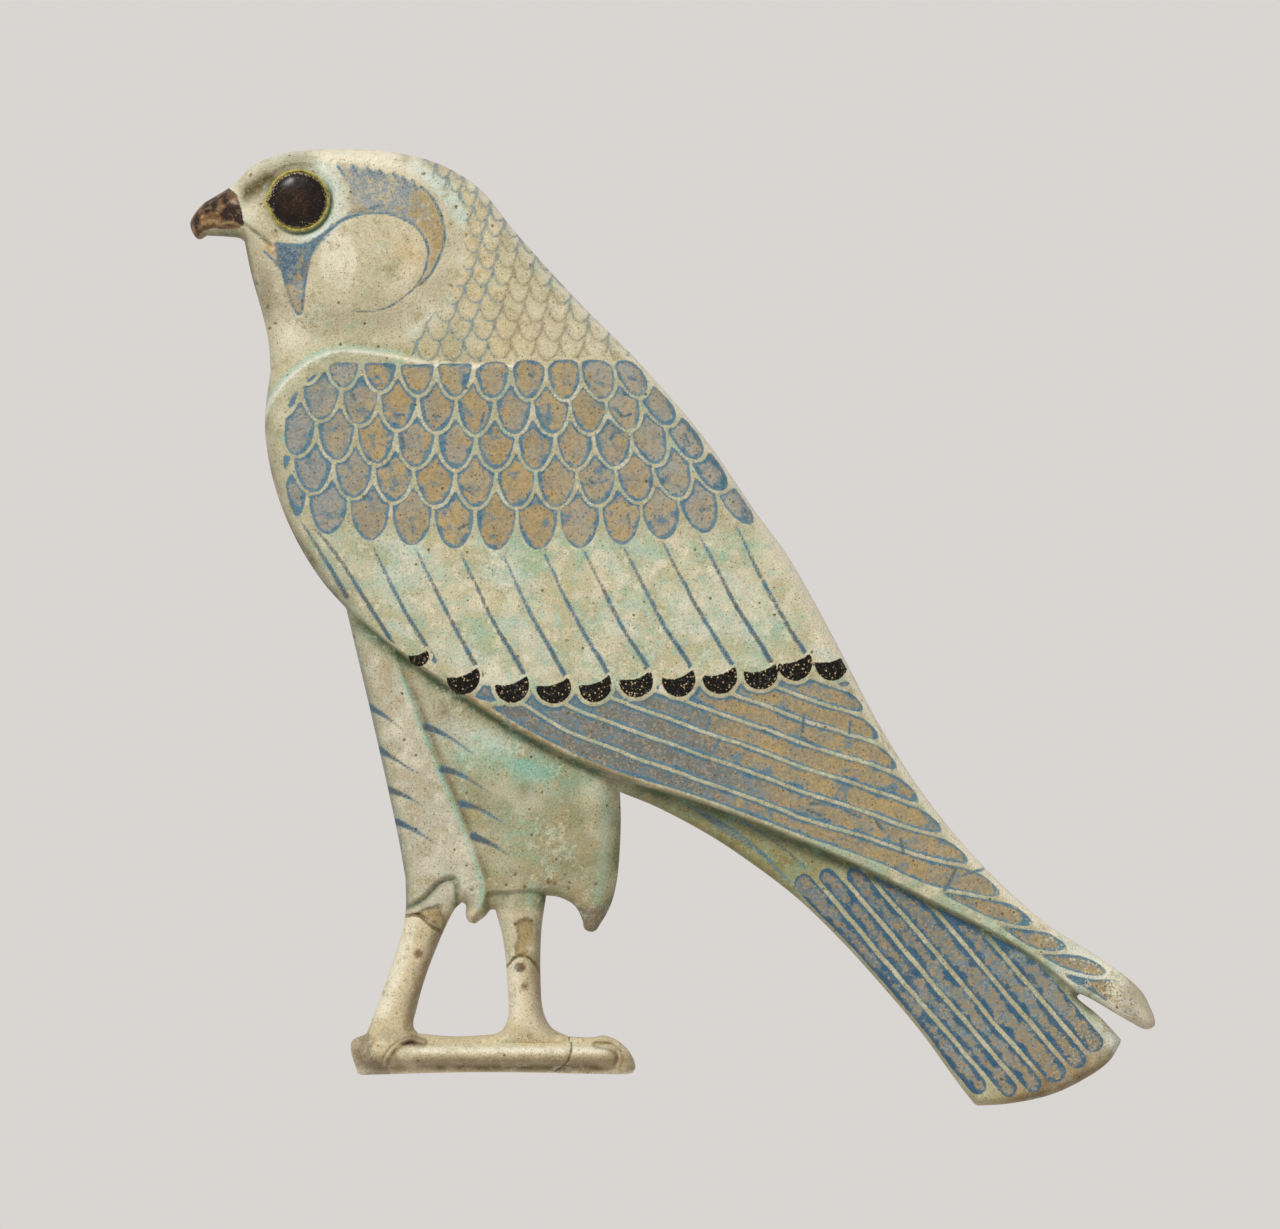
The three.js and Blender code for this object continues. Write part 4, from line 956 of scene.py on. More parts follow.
    # painted highlight on the legs' left sides and painted shade on their right sides
    lit, shaded = across(0.0, 0.8, -p.edge_right), across(-0.1, 0.7, p.edge_right)
    lay("crown", legs * 0.75 * lit * across(2.0, 0.8, p.rim) * across(-42, -40, z))
    lay("olive", legs * 0.35 * across(-0.1, 0.8, wave))
    lay("earth", legs * 0.75 * shaded * across(1.5, 0.3, p.rim) * across(-44, -41, z))
    lay("earth", legs * 0.4 * across(0.0, 0.9, small) * across(-44, -46, z))
    lay("tan", legs * 0.22 * across(-43.2, -44.2, z))
    lay("olive", legs * 0.3 * across(-37, -33, z) * across(-19, -17.5, x))
    from_toe = p.from_line(TOE) - TOE_REACH
    toe_ends = 9 * (across(-26.5, -28, x) + across(-8, -6.8, x))
    # toe bar: painted shade in the groove round it, a painted highlight along its top, painted shade on its lower
    # half and in the groove beneath it, and a light line along the ledge
    lay("earth", legs * 0.75 * bead(from_toe - 0.15, 0.28) * across(-44.0, -45.0, z + toe_ends))
    lay("crown", legs * 0.9 * bead(z + 44.1, 0.42) * across(-28.6, -27.0, x) * across(-6.2, -7.4, x))
    lay("earth", legs * 0.55 * bead(z + 45.2, 0.6))
    lay("moss", legs * 0.75 * bead(z + 46.0, 0.3) * across(-0.6, 0.4, small))
    lay("crown", legs * 0.5 * bead(z + 46.55, 0.15))
    claws = np.minimum(p.drawn(FRONT_CLAW)[0], p.drawn(REAR_CLAW)[0])
    lay("earth", 0.75 * bead(claws - 0.32, 0.14))
    lay("horn", p.blot(-27.3, -43.3, 1.1, 0.42))
    lay("stone", 0.75 * across(-0.1, 0.1, p.patch(FRACTURE) + 0.1 * small))
    lay("earth", 0.5 * bead(p.patch(FRACTURE) - 0.05, 0.2))
    broken_hem = across(-11, -10, x) * across(-3, -5, x) * across(-34, -33, z)
    lay("stone", across(-28.4, -29.4, z + 0.4 * small) * broken_hem)
    # crumbled breaks: a painted shadow round their edge, tan inside
    for crumbs in (FORE_CRUMBS, HIND_CRUMBS):
        loose = p.patch(crumbs) + 0.25 * small
        lay("moss", 0.75 * across(-0.1, 0.1, loose))
        lay("tan", 0.85 * across(0.1, 0.35, loose + 0.3 * wave))
    for spot, reach in STAINS:
        lay("rust", 0.9 * across(reach, reach * 0.5, p.from_spot(spot) + 0.3 * small))
        lay("horn", 0.4 * across(reach * 0.7, reach * 0.4, p.from_spot(spot) + 0.3 * small))

    # painted shadow below the wing's edge and the hems, in the olive and green of glaze that ran together there
    under = below * across(-40, -35, x)
    lay("olive", 0.75 * under * across(-2.6, -0.4, p.above_wing_edge))
    lay("green", 0.85 * under * bead(np.minimum(p.above_wing_edge + 0.4, 0), 0.6))
    lay("green", 0.8 * bead(p.above_fore_hem + 0.35, 0.28) * across(-33, -30, z) * across(-20, -21.5, x))
    lay("green", 0.4 * bead(p.above_hind_hem + 0.35, 0.3) * across(-33, -30, z) * across(-20, -19, x))
    return ground


def fill_colours(p, colours):
    """The filling's colour in each feather."""
    short = p.short > np.maximum(p.long, p.tail)
    tail = p.tail > np.maximum(p.short, p.long)
    tan = np.where(short, p.short_tan, 0.8 * p.long_tan)
    tan = tan + 0.3 * ripple(p.x, p.z, 1.4, 51) - 0.12 * across(-14, 0, p.x) * short
    blue = np.where(short[:, None], np.array(colours.blue), np.array(colours.slate))
    base = blue + np.clip(tan, 0, 1)[:, None] * (np.array(colours.tan) - blue)
    row_tone = 0.94 + 0.2 * p.short_number + 0.04 * across(22, 26, p.z) + 0.05 * across(-12, 4, p.x)
    tone = np.where(short, row_tone + 0.02 * across(-14, 0, p.x), 0.86 + 0.15 * across(0, 10, p.x))
    stem = mix(np.array(colours.slate), np.array(colours.ink), 0.3)
    stem = stem + 0.4 * across(20, 29, p.along_tail)[:, None] * (np.array(colours.tan) - stem)
    bleached = 1 + 0.26 * across(9, 16, p.along_tail) * across(29, 24, p.along_tail)
    return np.where(tail[:, None], stem * bleached[:, None], base * tone[:, None])


class Wire:
    """One socket of a shader's nodes, so that its maths can be written as sums."""

    def __init__(self, shader, socket):
        self.shader, self.socket = shader, socket

    def maths(self, operation, *others):
        return self.shader.node("ShaderNodeMath", {"operation": operation}, dict(enumerate((self, *others))))

    def __add__(self, other):
        return self.maths("ADD", other)

    __radd__ = __add__

    def __sub__(self, other):
        return self.maths("SUBTRACT", other)

    def __rsub__(self, other):
        return self.shader.node("ShaderNodeMath", {"operation": "SUBTRACT"}, {0: other, 1: self})

    def __mul__(self, other):
        return self.maths("MULTIPLY", other)

    __rmul__ = __mul__

    def across(self, low, high):
        """Rises smoothly from 0 to 1 as this goes from low to high; high may be the smaller."""
        sockets = {"Value": self, "From Min": min(low, high), "From Max": max(low, high)}
        rise = self.shader.node("ShaderNodeMapRange", {"interpolation_type": "SMOOTHSTEP"}, sockets)
        return rise if low < high else 1 - rise


class Shader:
    """The making of the nodes of a material, or of the sky; place is what their patterns follow."""

    def __init__(self, owner, colours=None, place="Object"):
        owner.use_nodes = True
        self.owner, self.tree, self.colours = owner, owner.node_tree, colours
        self.place = self.node("ShaderNodeTexCoord", {}, {}, place)

    def node(self, kind, settings, sockets, output=0):
        made = self.tree.nodes.new(kind)
        for name, value in settings.items():
            setattr(made, name, value)
        for name, value in sockets.items():
            self.join(made.inputs[name], value)
        return Wire(self, made.outputs[output])

    def join(self, socket, value):
        """Gives a socket its value: a link, a number, a colour, or the name of one of the falcon's colours."""
        if isinstance(value, str):
            value = getattr(self.colours, value)
        if isinstance(value, Wire):
            self.tree.links.new(value.socket, socket)
        elif socket.type == "RGBA":
            socket.default_value = (*value, 1.0)
        else:
            socket.default_value = value

    def field(self, name):
        return self.node("ShaderNodeAttribute", {"attribute_name": name}, {}, "Fac")

    def colour_field(self, name):
        return self.node("ShaderNodeAttribute", {"attribute_name": name}, {}, "Color")

    def spread(self, millimetres, **more):
        return {"Vector": self.place, "Scale": 1 / (millimetres * MM), **more}

    def noise(self, millimetres, detail=3, roughness=0.55):
        sockets = self.spread(millimetres, Detail=detail, Roughness=roughness)
        return self.node("ShaderNodeTexNoise", {}, sockets)

    def dots(self, millimetres):
        """Distance to scattered points, as a share of their spacing, and a random number for each."""
        distance = self.node("ShaderNodeTexVoronoi", {}, self.spread(millimetres), "Distance")
        colour = Wire(self, distance.socket.node.outputs["Color"])
        chance = self.node("ShaderNodeSeparateColor", {}, {"Color": colour}, 0)
        return distance, chance

    def blend(self, under, over, share, way="MIX"):
        settings = {"data_type": "RGBA", "blend_type": way, "clamp_factor": True}
        return self.node("ShaderNodeMix", settings, {0: share, 6: under, 7: over}, 2)

    def finish(self, colour, roughness, height, depth, specular, coat=0.0):
        """Joins the surface up; height is in millimetres and depth scales it."""
        bump = self.node("ShaderNodeBump", {}, {"Strength": depth, "Distance": MM, "Height": height})
        surface = self.tree.nodes["Principled BSDF"]
        sockets = {"Base Color": colour, "Roughness": roughness, "Normal": bump, "Specular IOR Level": specular,
                   "Coat Weight": coat, "Coat Roughness": 0.28}
        for name, value in sockets.items():
            self.join(surface.inputs[name], value)
        return self.owner


def faience(colours):
    """Painted and inlaid faience: ground, filled feathers, lines, black tips, beak, grime with some painted
    shadow, and pores.
    """
    s = Shader(bpy.data.materials.new("painted_faience"), colours)
    sand = s.noise(0.28, 2, 0.6)
    grain = s.noise(0.55, 4, 0.7)
    fleck = s.noise(1.1, 4, 0.65)
    mottle = s.noise(2.8, 4, 0.62)
    cloud = s.noise(8.0, 3, 0.5)
    pore, pore_chance = s.dots(0.7)
    pit, pit_chance = s.dots(2.1)
    speck, speck_chance = s.dots(0.5)

    # edges of the paint waver by a fraction of a millimetre
    bleed = (fleck - 0.5) * 0.6 + (grain - 0.5) * 0.4

    ground = s.blend(s.colour_field("ground"), "crown", cloud.across(0.48, 0.72) * 0.3)
    middle = s.field("middle")
    calm = 1 - middle * 0.75
    ground = s.blend(ground, "olive", mottle.across(0.52, 0.66) * calm * 0.35)
    ground = s.blend(ground, "tan", (fleck + mottle).across(1.05, 1.25) * calm * 0.4)
    ground = s.blend(ground, "turquoise", (mottle + cloud).across(0.9, 0.76) * 0.25)
    flake = mottle * 0.7 + fleck * 0.5
    ground = s.blend(ground, "turquoise", flake.across(0.57, 0.51) * middle * 0.38)
    ground = s.blend(ground, "tan_cream", (cloud * 0.6 + fleck * 0.6).across(0.62, 0.7) * middle * 0.25)
    ground = s.blend(ground, "crown", flake.across(0.65, 0.7) * middle * 0.42)
    ground = s.blend(ground, "crown", (fleck + cloud).across(0.92, 0.72) * (s.field("root") * -0.25 + 0.3))

    # filled feathers, with the blue line just inside their edge
    cell = s.field("cell")
    in_tail = s.field("in_tail")
    fill = s.blend(s.colour_field("fill"), "slate", mottle.across(0.5, 0.64) * 0.35)
    fill = s.blend(fill, "tan", (fleck + mottle * 0.5).across(0.78, 0.9) * 0.36)
    blotch = (mottle * 0.7 + fleck).across(0.78, 0.88) * (cell + bleed).across(0.2, 0.5)
    fill = s.blend(fill, s.blend("tan", "earth", grain.across(0.42, 0.6)), blotch * in_tail * 0.66)
    spots = (mottle * 0.6 + fleck).across(0.72, 0.64) * in_tail
    fill = s.blend(fill, s.blend("ink", "deep", grain), spots * 0.5)
    fill = s.blend(fill, "amber", (grain + fleck).across(1.1, 1.25) * 0.4)
    fill = s.blend(fill, "mist", (cloud * 0.7 + mottle).across(0.84, 0.98) * (1 - in_tail) * 0.36)
    fill = s.blend(fill, "earth", (grain + sand).across(1.0, 0.8) * 0.7)
    fill = s.blend(fill, "tan_cream", (grain + sand).across(1.02, 1.2) * 0.55)
    fill = s.blend(fill, "ink", (fleck + mottle).across(1.1, 1.2) * 0.8)
    ink = s.blend("ink", "deep", (in_tail * 0.75 + (mottle - 0.5) * 1.6 + 0.15).across(0.0, 1.0))
    width = (mottle - 0.5) * (1.3 + in_tail * 0.8) + (cloud - 0.5) * 0.8 + in_tail * 0.05 + 0.33
    edge = (cell + bleed * 1.2 - width).across(0.16, -0.12)
    fill = s.blend(fill, ink, edge * (0.42 + mottle * 0.9))
    shell = (cell + bleed * 0.25).across(-0.08, 0.07)
    rubbed = (s.field("wear") + (fleck - 0.5) * 1.2 + (grain - 0.5)).across(0.45, 0.65)
    colour = s.blend(ground, fill, shell * (1 - rubbed * 0.9))
    crumbs = (s.field("yellow") * 0.46 + grain * 0.6 + sand * 0.6).across(1.03, 1.1)
    crumbs = crumbs * (shell * 0.85 + 0.15)
    colour = s.blend(colour, s.blend("lid", "tan_cream", grain.across(0.3, 0.6)), crumbs * 0.8)

    # thin painted lines
    line = s.field("line")
    worn = (mottle + grain).across(1.35, 0.95)
    face = s.field("face")
    ink = s.blend("ink", "deep", mottle.across(0.5, 0.35) * 0.7)
    ink = s.blend(ink, "moss", (mottle + cloud * 0.6).across(0.76, 0.9) * (0.65 - face * 0.5))
    colour = s.blend(colour, ink, (line + bleed * 0.4).across(0.14, -0.06) * (0.35 + worn * 0.55))
    colour = s.blend(colour, s.blend("deep", "moss", 0.3), (line + bleed * 0.2).across(-0.03, -0.15) * 0.75)
    net = s.field("net")
    brown = s.field("brown")
    colour = s.blend(colour, "olive", net.across(0.6, 0.1) * 0.22)
    thread = (net + bleed * 0.4).across(0.22, 0.0) * (0.25 + worn * 0.5 - brown * 0.15)
    colour = s.blend(colour, s.blend("ink", "earth", brown), thread)

    # blue patches of the face, rubbed in flecks, with warm places in them
    patch = s.field("patch")
    faded = (fleck + grain * 0.6 + mottle * 0.8).across(1.4, 1.08)
    blue = s.blend("mist", "slate", fleck.across(0.42, 0.6) * 0.55)
    patched = s.blend(blue, "tan_cream", (grain + mottle).across(0.98, 1.2) * 0.6)
    colour = s.blend(colour, patched, (patch + bleed).across(-0.15, 0.25) * (0.25 + faded * 0.7))
    core = (s.field("core") + bleed * 1.2).across(-0.2, 0.35)
    colour = s.blend(colour, s.blend("deep", "moss", mottle.across(0.5, 0.6) * 0.8), core * 0.8)
    colour = s.blend(colour, "black", core * (fleck * 0.7 + mottle).across(0.9, 1.02) * 0.35)
    colour = s.blend(colour, "mist", core * (grain + fleck).across(0.95, 1.15) * 0.7)
    warm = s.field("warm")
    tawny = s.blend("tan", "amber", (fleck + grain).across(1.0, 1.2) * warm * 0.7)
    colour = s.blend(colour, tawny, warm * (mottle + fleck * 0.5 + warm * 0.15).across(0.74, 0.92))
    colour = s.blend(colour, ink, (line + bleed * 0.4).across(0.14, -0.06) * face * (0.2 + worn * 0.5))

    # black tips with pale grains
    tip = s.field("tip")
    pale_grain = speck.across(0.36, 0.2) * (speck_chance + mottle * 1.9).across(1.36, 1.46)
    golden = s.blend("tan_cream", "amber", speck_chance * 0.7)
    in_tip = (tip + bleed * 0.25).across(-0.05, 0.05)
    colour = s.blend(colour, s.blend("black", golden, pale_grain * 0.9), in_tip)

    # beak and lid
    brown = s.blend("rust", "earth", fleck.across(0.4, 0.6) * 0.6)
    low_beak = s.field("low_beak")
    horn = s.blend("horn", brown, (mottle + low_beak * 0.6).across(0.5, 0.8))
    horn = s.blend(horn, "rust", 0.5)
    horn = s.blend(horn, "black", (fleck * 0.8 + mottle * 0.9).across(0.88, 0.76) * 0.85)
    # lighter earth-brown patches, fewer low on the beak: the beak's own colour, and a painted sheen on its top
    horn = s.blend(horn, "earth", (mottle * 0.6 + fleck).across(0.74, 0.9) * (0.6 - low_beak * 0.6))
    horn = s.blend(horn, "amber", (mottle * 0.7 + fleck).across(0.94, 1.04) * 0.6)
    horn = s.blend(horn, "tan", s.field("seam") * 0.8)
    in_beak = (s.field("beak") + bleed * 0.6).across(-0.08, 0.1)
    colour = s.blend(colour, horn, in_beak)
    colour = s.blend(colour, s.blend("lid", "moss", fleck.across(0.45, 0.7)), s.field("lid"))
    # painted shadow outside the lid
    colour = s.blend(colour, "green", s.field("shade"))

    # grime in the cracks and the pits, with painted shadow along the fore leg's break; pores and the grain of the
    # paste
    dirt_and_shadow_share = (s.field("dirt_and_shadow") + (fleck - 0.5) * 0.6).across(0.3, 0.7)
    colour = s.blend(colour, s.blend("earth", "moss", mottle.across(0.45, 0.65)), dirt_and_shadow_share * 0.85)
    hole = (pore - shell * 0.05).across(0.2, 0.1) * (pore_chance + shell * 0.12).across(0.6, 0.66)
    hollow = pit.across(0.13, 0.08) * pit_chance.across(0.72, 0.76)
    dark = s.blend("earth", "black", pore_chance.across(0.7, 1.0) * 0.5)
    colour = s.blend(colour, dark, (hole * 0.6).maths("MAXIMUM", hollow * 0.9))
    colour = s.blend(colour, (0.3, 0.27, 0.22), sand.across(0.5, 0.68) * 0.38, "MULTIPLY")
    colour = s.blend(colour, (1.0, 0.95, 0.82), sand.across(0.46, 0.3) * 0.4, "SOFT_LIGHT")
    colour = s.blend(colour, "earth", grain.across(0.56, 0.7) * 0.28)
    colour = s.blend(colour, "crown", grain.across(0.44, 0.3) * (shell * -0.1 + 0.2))

    roughness = 0.44 + grain * 0.18 + mottle * 0.1
    relief = sand * 0.03 + grain * 0.07 + fleck * 0.07 + mottle * 0.08 + cloud * 0.1
    relief = relief - hole * 0.12 - hollow * 0.2 - net.across(0.2, 0.03) * 0.04 + pale_grain * 0.03
    return s.finish(colour, roughness, relief, 0.9, specular=0.1, coat=in_tip * -0.16 + in_beak * 0.12 + 0.22)


def eye_glaze(colours):
    """Dark brown glaze, grainy, with rust and cream grains towards the edge."""
    s = Shader(bpy.data.materials.new("eye_glaze"), colours)
    grain = s.noise(0.3, 4, 0.7)
    mottle = s.noise(1.4, 3, 0.6)
    speck, chance = s.dots(0.36)
    ring = s.field("ring")
    colour = s.blend("eye", "horn", (mottle * 0.6 + grain * 0.8 - ring * 0.2).across(0.5, 0.74) * 0.45)
    colour = s.blend(colour, "black", (ring + (mottle - 0.5)).across(0.7, 0.9) * 0.6)
    crust = (ring + (grain - 0.5) * 0.3).across(0.92, 0.99)
    colour = s.blend(colour, s.blend("earth", "tan_cream", grain.across(0.45, 0.62)), crust * 0.8)
    pale_grain = speck.across(0.3, 0.15) * chance.across(0.55, 0.65)
    colour = s.blend(colour, "tan_cream", pale_grain * (ring + (mottle - 0.5)).across(0.74, 1.0) * 0.8)
    colour = s.blend(colour, "rust", (grain + mottle * 0.3 - ring * 0.1).across(0.64, 0.84) * 0.32)
    return s.finish(colour, 0.4 + grain * 0.2, grain * 0.1 + mottle * 0.05, 0.7, specular=0.03, coat=0.5)


def plain(name, colour, roughness):
    """A matt finish with hardly any pattern, for the stage."""
    s = Shader(bpy.data.materials.new(name))
    shade = s.blend(colour, tuple(0.97 * part for part in colour), s.noise(400.0, 2, 0.5))
    return s.finish(shade, roughness, s.noise(3.0, 2, 0.5), 0.02, specular=0.2)


def deselect():
    bpy.ops.object.select_all(action="DESELECT")


def coordinates(mesh):
    flat = np.empty(len(mesh.vertices) * 3)
    mesh.vertices.foreach_get("co", flat)
    return flat.reshape(-1, 3)


def place_vertices(mesh, points):
    mesh.vertices.foreach_set("co", points.ravel())
    mesh.update()


def select_faces(mesh, chosen):
    """Selects these faces and nothing else, ready for edit mode."""
    bpy.context.tool_settings.mesh_select_mode = (False, False, True)
    mesh.vertices.foreach_set("select", np.zeros(len(mesh.vertices), bool))
    mesh.edges.foreach_set("select", np.zeros(len(mesh.edges), bool))
    mesh.polygons.foreach_set("select", chosen)


def corners_of(mesh):
    corners = np.empty(len(mesh.loops), int)
    mesh.loops.foreach_get("vertex_index", corners)
    return corners.reshape(-1, 4)


def cut_grid(name, cell, margin):
    """A grid over the figure's box, less the faces that aren't well inside the outline."""
    deselect()
    width, height = BODY_HIGH.x - BODY_LOW.x, BODY_HIGH.z - BODY_LOW.z
    columns, rows = round(width / cell), round(height / cell)
    bpy.ops.mesh.primitive_grid_add(x_subdivisions=columns, y_subdivisions=rows, size=1,
                                    location=(BODY_LOW.x + width / 2, 0, BODY_LOW.z + height / 2),
                                    rotation=(math.pi / 2, 0, 0))
    made = bpy.context.object
    made.name = made.data.name = name
    made.scale = (width, height, 1)
    bpy.ops.object.transform_apply(location=True, rotation=True, scale=True)
    points = coordinates(made.data) / UNIT
    x, z = points[:, 0], points[:, 2]
    good = inside(x, z, OUTER) & ~inside(x, z, INNER)
    kept = np.flatnonzero(good)
    good[kept] = on_outline(x[kept], z[kept])[0] > margin / UNIT
    select_faces(made.data, ~good[corners_of(made.data)].all(1))
    bpy.ops.object.mode_set(mode="EDIT")
    bpy.ops.mesh.delete(type="FACE")
    bpy.ops.object.mode_set(mode="OBJECT")
    return made


def refine(made, wanted):
    """Cuts the faces at the given places in four."""
    points = coordinates(made.data) / UNIT
    middle = points[corners_of(made.data)].mean(1)
    select_faces(made.data, wanted(middle[:, 0], middle[:, 2]))
    bpy.ops.object.mode_set(mode="EDIT")
    bpy.ops.mesh.subdivide(number_cuts=1)
    bpy.ops.mesh.select_all(action="DESELECT")
    bpy.ops.object.mode_set(mode="OBJECT")


def fine_places(x, z):
    """Where the relief is steep or small: the steps, the eye, the beak, the claws and the breaks."""
    steep = np.zeros(x.size, bool)
    for line, reach in ((WING_EDGE, 0.42), (SHOULDER, 0.42), (LEG_RIDGE, 0.4), (FORE_HEM, 0.45),
                        (HIND_HEM, 0.45), (MANDIBLE, 0.5), (MOUTH, 0.5), (FRONT_CLAW, 0.5), (REAR_CLAW, 0.5),
                        (FORE_BREAK, 0.35), (HIND_BREAK, 0.35)):
        steep |= nearest(x, z, curve(line), False, 1.0)[0] < reach
    from_eye = np.hypot(x - EYE_CENTRE[0], z - EYE_CENTRE[1])
    return steep | ((from_eye > EYE_REACH[0] - 0.5) & (from_eye < EYE_REACH[0] + 1.2))


def extrude_border(made):
    """Extrudes the open border in place and gives the new vertices' numbers."""
    bpy.context.tool_settings.mesh_select_mode = (False, True, False)
    bpy.ops.object.mode_set(mode="EDIT")
    bpy.ops.mesh.select_all(action="DESELECT")
    bpy.ops.mesh.select_non_manifold(extend=False, use_wire=False, use_boundary=True, use_multi_face=False,
                                     use_non_contiguous=False, use_verts=False)
    bpy.ops.mesh.extrude_region_move(TRANSFORM_OT_translate={"value": (0, 0, 0)})
    bpy.ops.object.mode_set(mode="OBJECT")
    chosen = np.empty(len(made.data.vertices), bool)
    made.data.vertices.foreach_get("select", chosen)
    return np.flatnonzero(chosen)


def model_body(sizes, colours):
    """The falcon: a grid cut to the outline and raised in relief, with its walls extruded and its back closed."""
    made = cut_grid("falcon_faience", sizes.cell, 0.4 * sizes.cell)
    refine(made, fine_places)
    for share in EDGE_ROWS:
        new = extrude_border(made)
        points = coordinates(made.data)
        here = points[new][:, [0, 2]] / UNIT
        foot = on_outline(here[:, 0], here[:, 1])[1]
        moved = foot + (here - foot) * share
        within = np.zeros((len(points), 2))
        within[new] = here
        points[new, 0], points[new, 2] = moved[:, 0] * UNIT, moved[:, 1] * UNIT
        place_vertices(made.data, points)
    points = coordinates(made.data)
    p = Places(points[:, 0] / UNIT, points[:, 2] / UNIT)
    add_patterns(p)
    height = height_of(p, sizes)
    points[:, 1] = -height * MM
    place_vertices(made.data, points)
    fields = paint_fields(p, colours)
    rim = np.flatnonzero(p.rim < 1e-4)

    def next_row():
        """A copy of the border: its vertices, all points, and the front's vertex above each new one."""
        new = extrude_border(made)
        points = coordinates(made.data)
        return new, points, rim[match(points[new][:, [0, 2]], points[rim][:, [0, 2]])]

    # walls: each row is a copy of the edge, nearer the back
    sources = []
    for share in WALL_ROWS:
        new, points, source = next_row()
        across_wall, along_wall = points[new, 0] / UNIT * 1.7, points[new, 2] / UNIT * 1.7
        rough = 0.12 * MM * ripple(across_wall, share * 9 + along_wall, 1.0, 61)
        points[new, 1] = -height[source] * MM * share + (rough if share else 0)
        sources.append(source)
        place_vertices(made.data, points)
    # the back starts a little inside the wall's foot, so that it has its own colour
    new, points, source = next_row()
    points[new, 0], points[new, 2] = within[source, 0] * UNIT, within[source, 1] * UNIT
    points[new, 1] = 0
    place_vertices(made.data, points)
    close_back(made)
    give_fields(made.data, fields, sources, colours)
    tidy_mesh(made)
    return made


def match(points, known):
    """For each point, the number of the known point at its place, found by the cells of a fine grid."""
    cell = 0.01 * MM
    grid = {}
    for number in np.lexsort((known[:, 1], known[:, 0])):
        grid.setdefault(tuple(np.round(known[number] / cell).astype(int)), number)
    found = []
    for point in points:
        a, b = np.round(point / cell).astype(int)
        near = [grid[a + i, b + j] for i in (0, -1, 1) for j in (0, -1, 1) if (a + i, b + j) in grid]
        found.append(near[0] if near else int(np.hypot(*(known - point).T).argmin()))
    return np.array(found)


def close_back(made):
    """Fills the flat back between the walls' feet with triangles."""
    web = bmesh.new()
    web.from_mesh(made.data)
    border = [edge for edge in web.edges if edge.is_boundary]
    feet = sorted({foot for edge in border for foot in edge.verts}, key=lambda foot: foot.index)
    number = {foot: i for i, foot in enumerate(feet)}
    flat = [Vector((foot.co.x, foot.co.z)) / UNIT for foot in feet]
    ends = [tuple(number[foot] for foot in edge.verts) for edge in border]
    places, _, faces, known, _, _ = delaunay_2d_cdt(flat, ends, [], 0, 1e-7)
    corners = [feet[source[0]] if source else web.verts.new((place.x * UNIT, 0, place.y * UNIT))
               for place, source in zip(places, known)]
    spots = np.array(places)
    middle = spots[np.array(faces)].mean(1)
    good = between(middle[:, 0], middle[:, 1], [(flat[a], flat[b]) for a, b in ends])
    for face in np.array(faces)[good]:
        web.faces.new([corners[i] for i in face])
    web.to_mesh(made.data)
    web.free()


def tidy_mesh(made):
    """Merges doubles, turns the faces outwards and smooths all but the sharp edges."""
    deselect()
    made.select_set(True)
    bpy.context.view_layer.objects.active = made
    bpy.ops.object.mode_set(mode="EDIT")
    bpy.ops.mesh.select_all(action="SELECT")
    bpy.ops.mesh.remove_doubles(threshold=DOUBLES)
    bpy.ops.mesh.normals_make_consistent(inside=False)
    bpy.ops.object.mode_set(mode="OBJECT")
    bpy.ops.object.shade_smooth_by_angle(angle=SHARP_ANGLE)


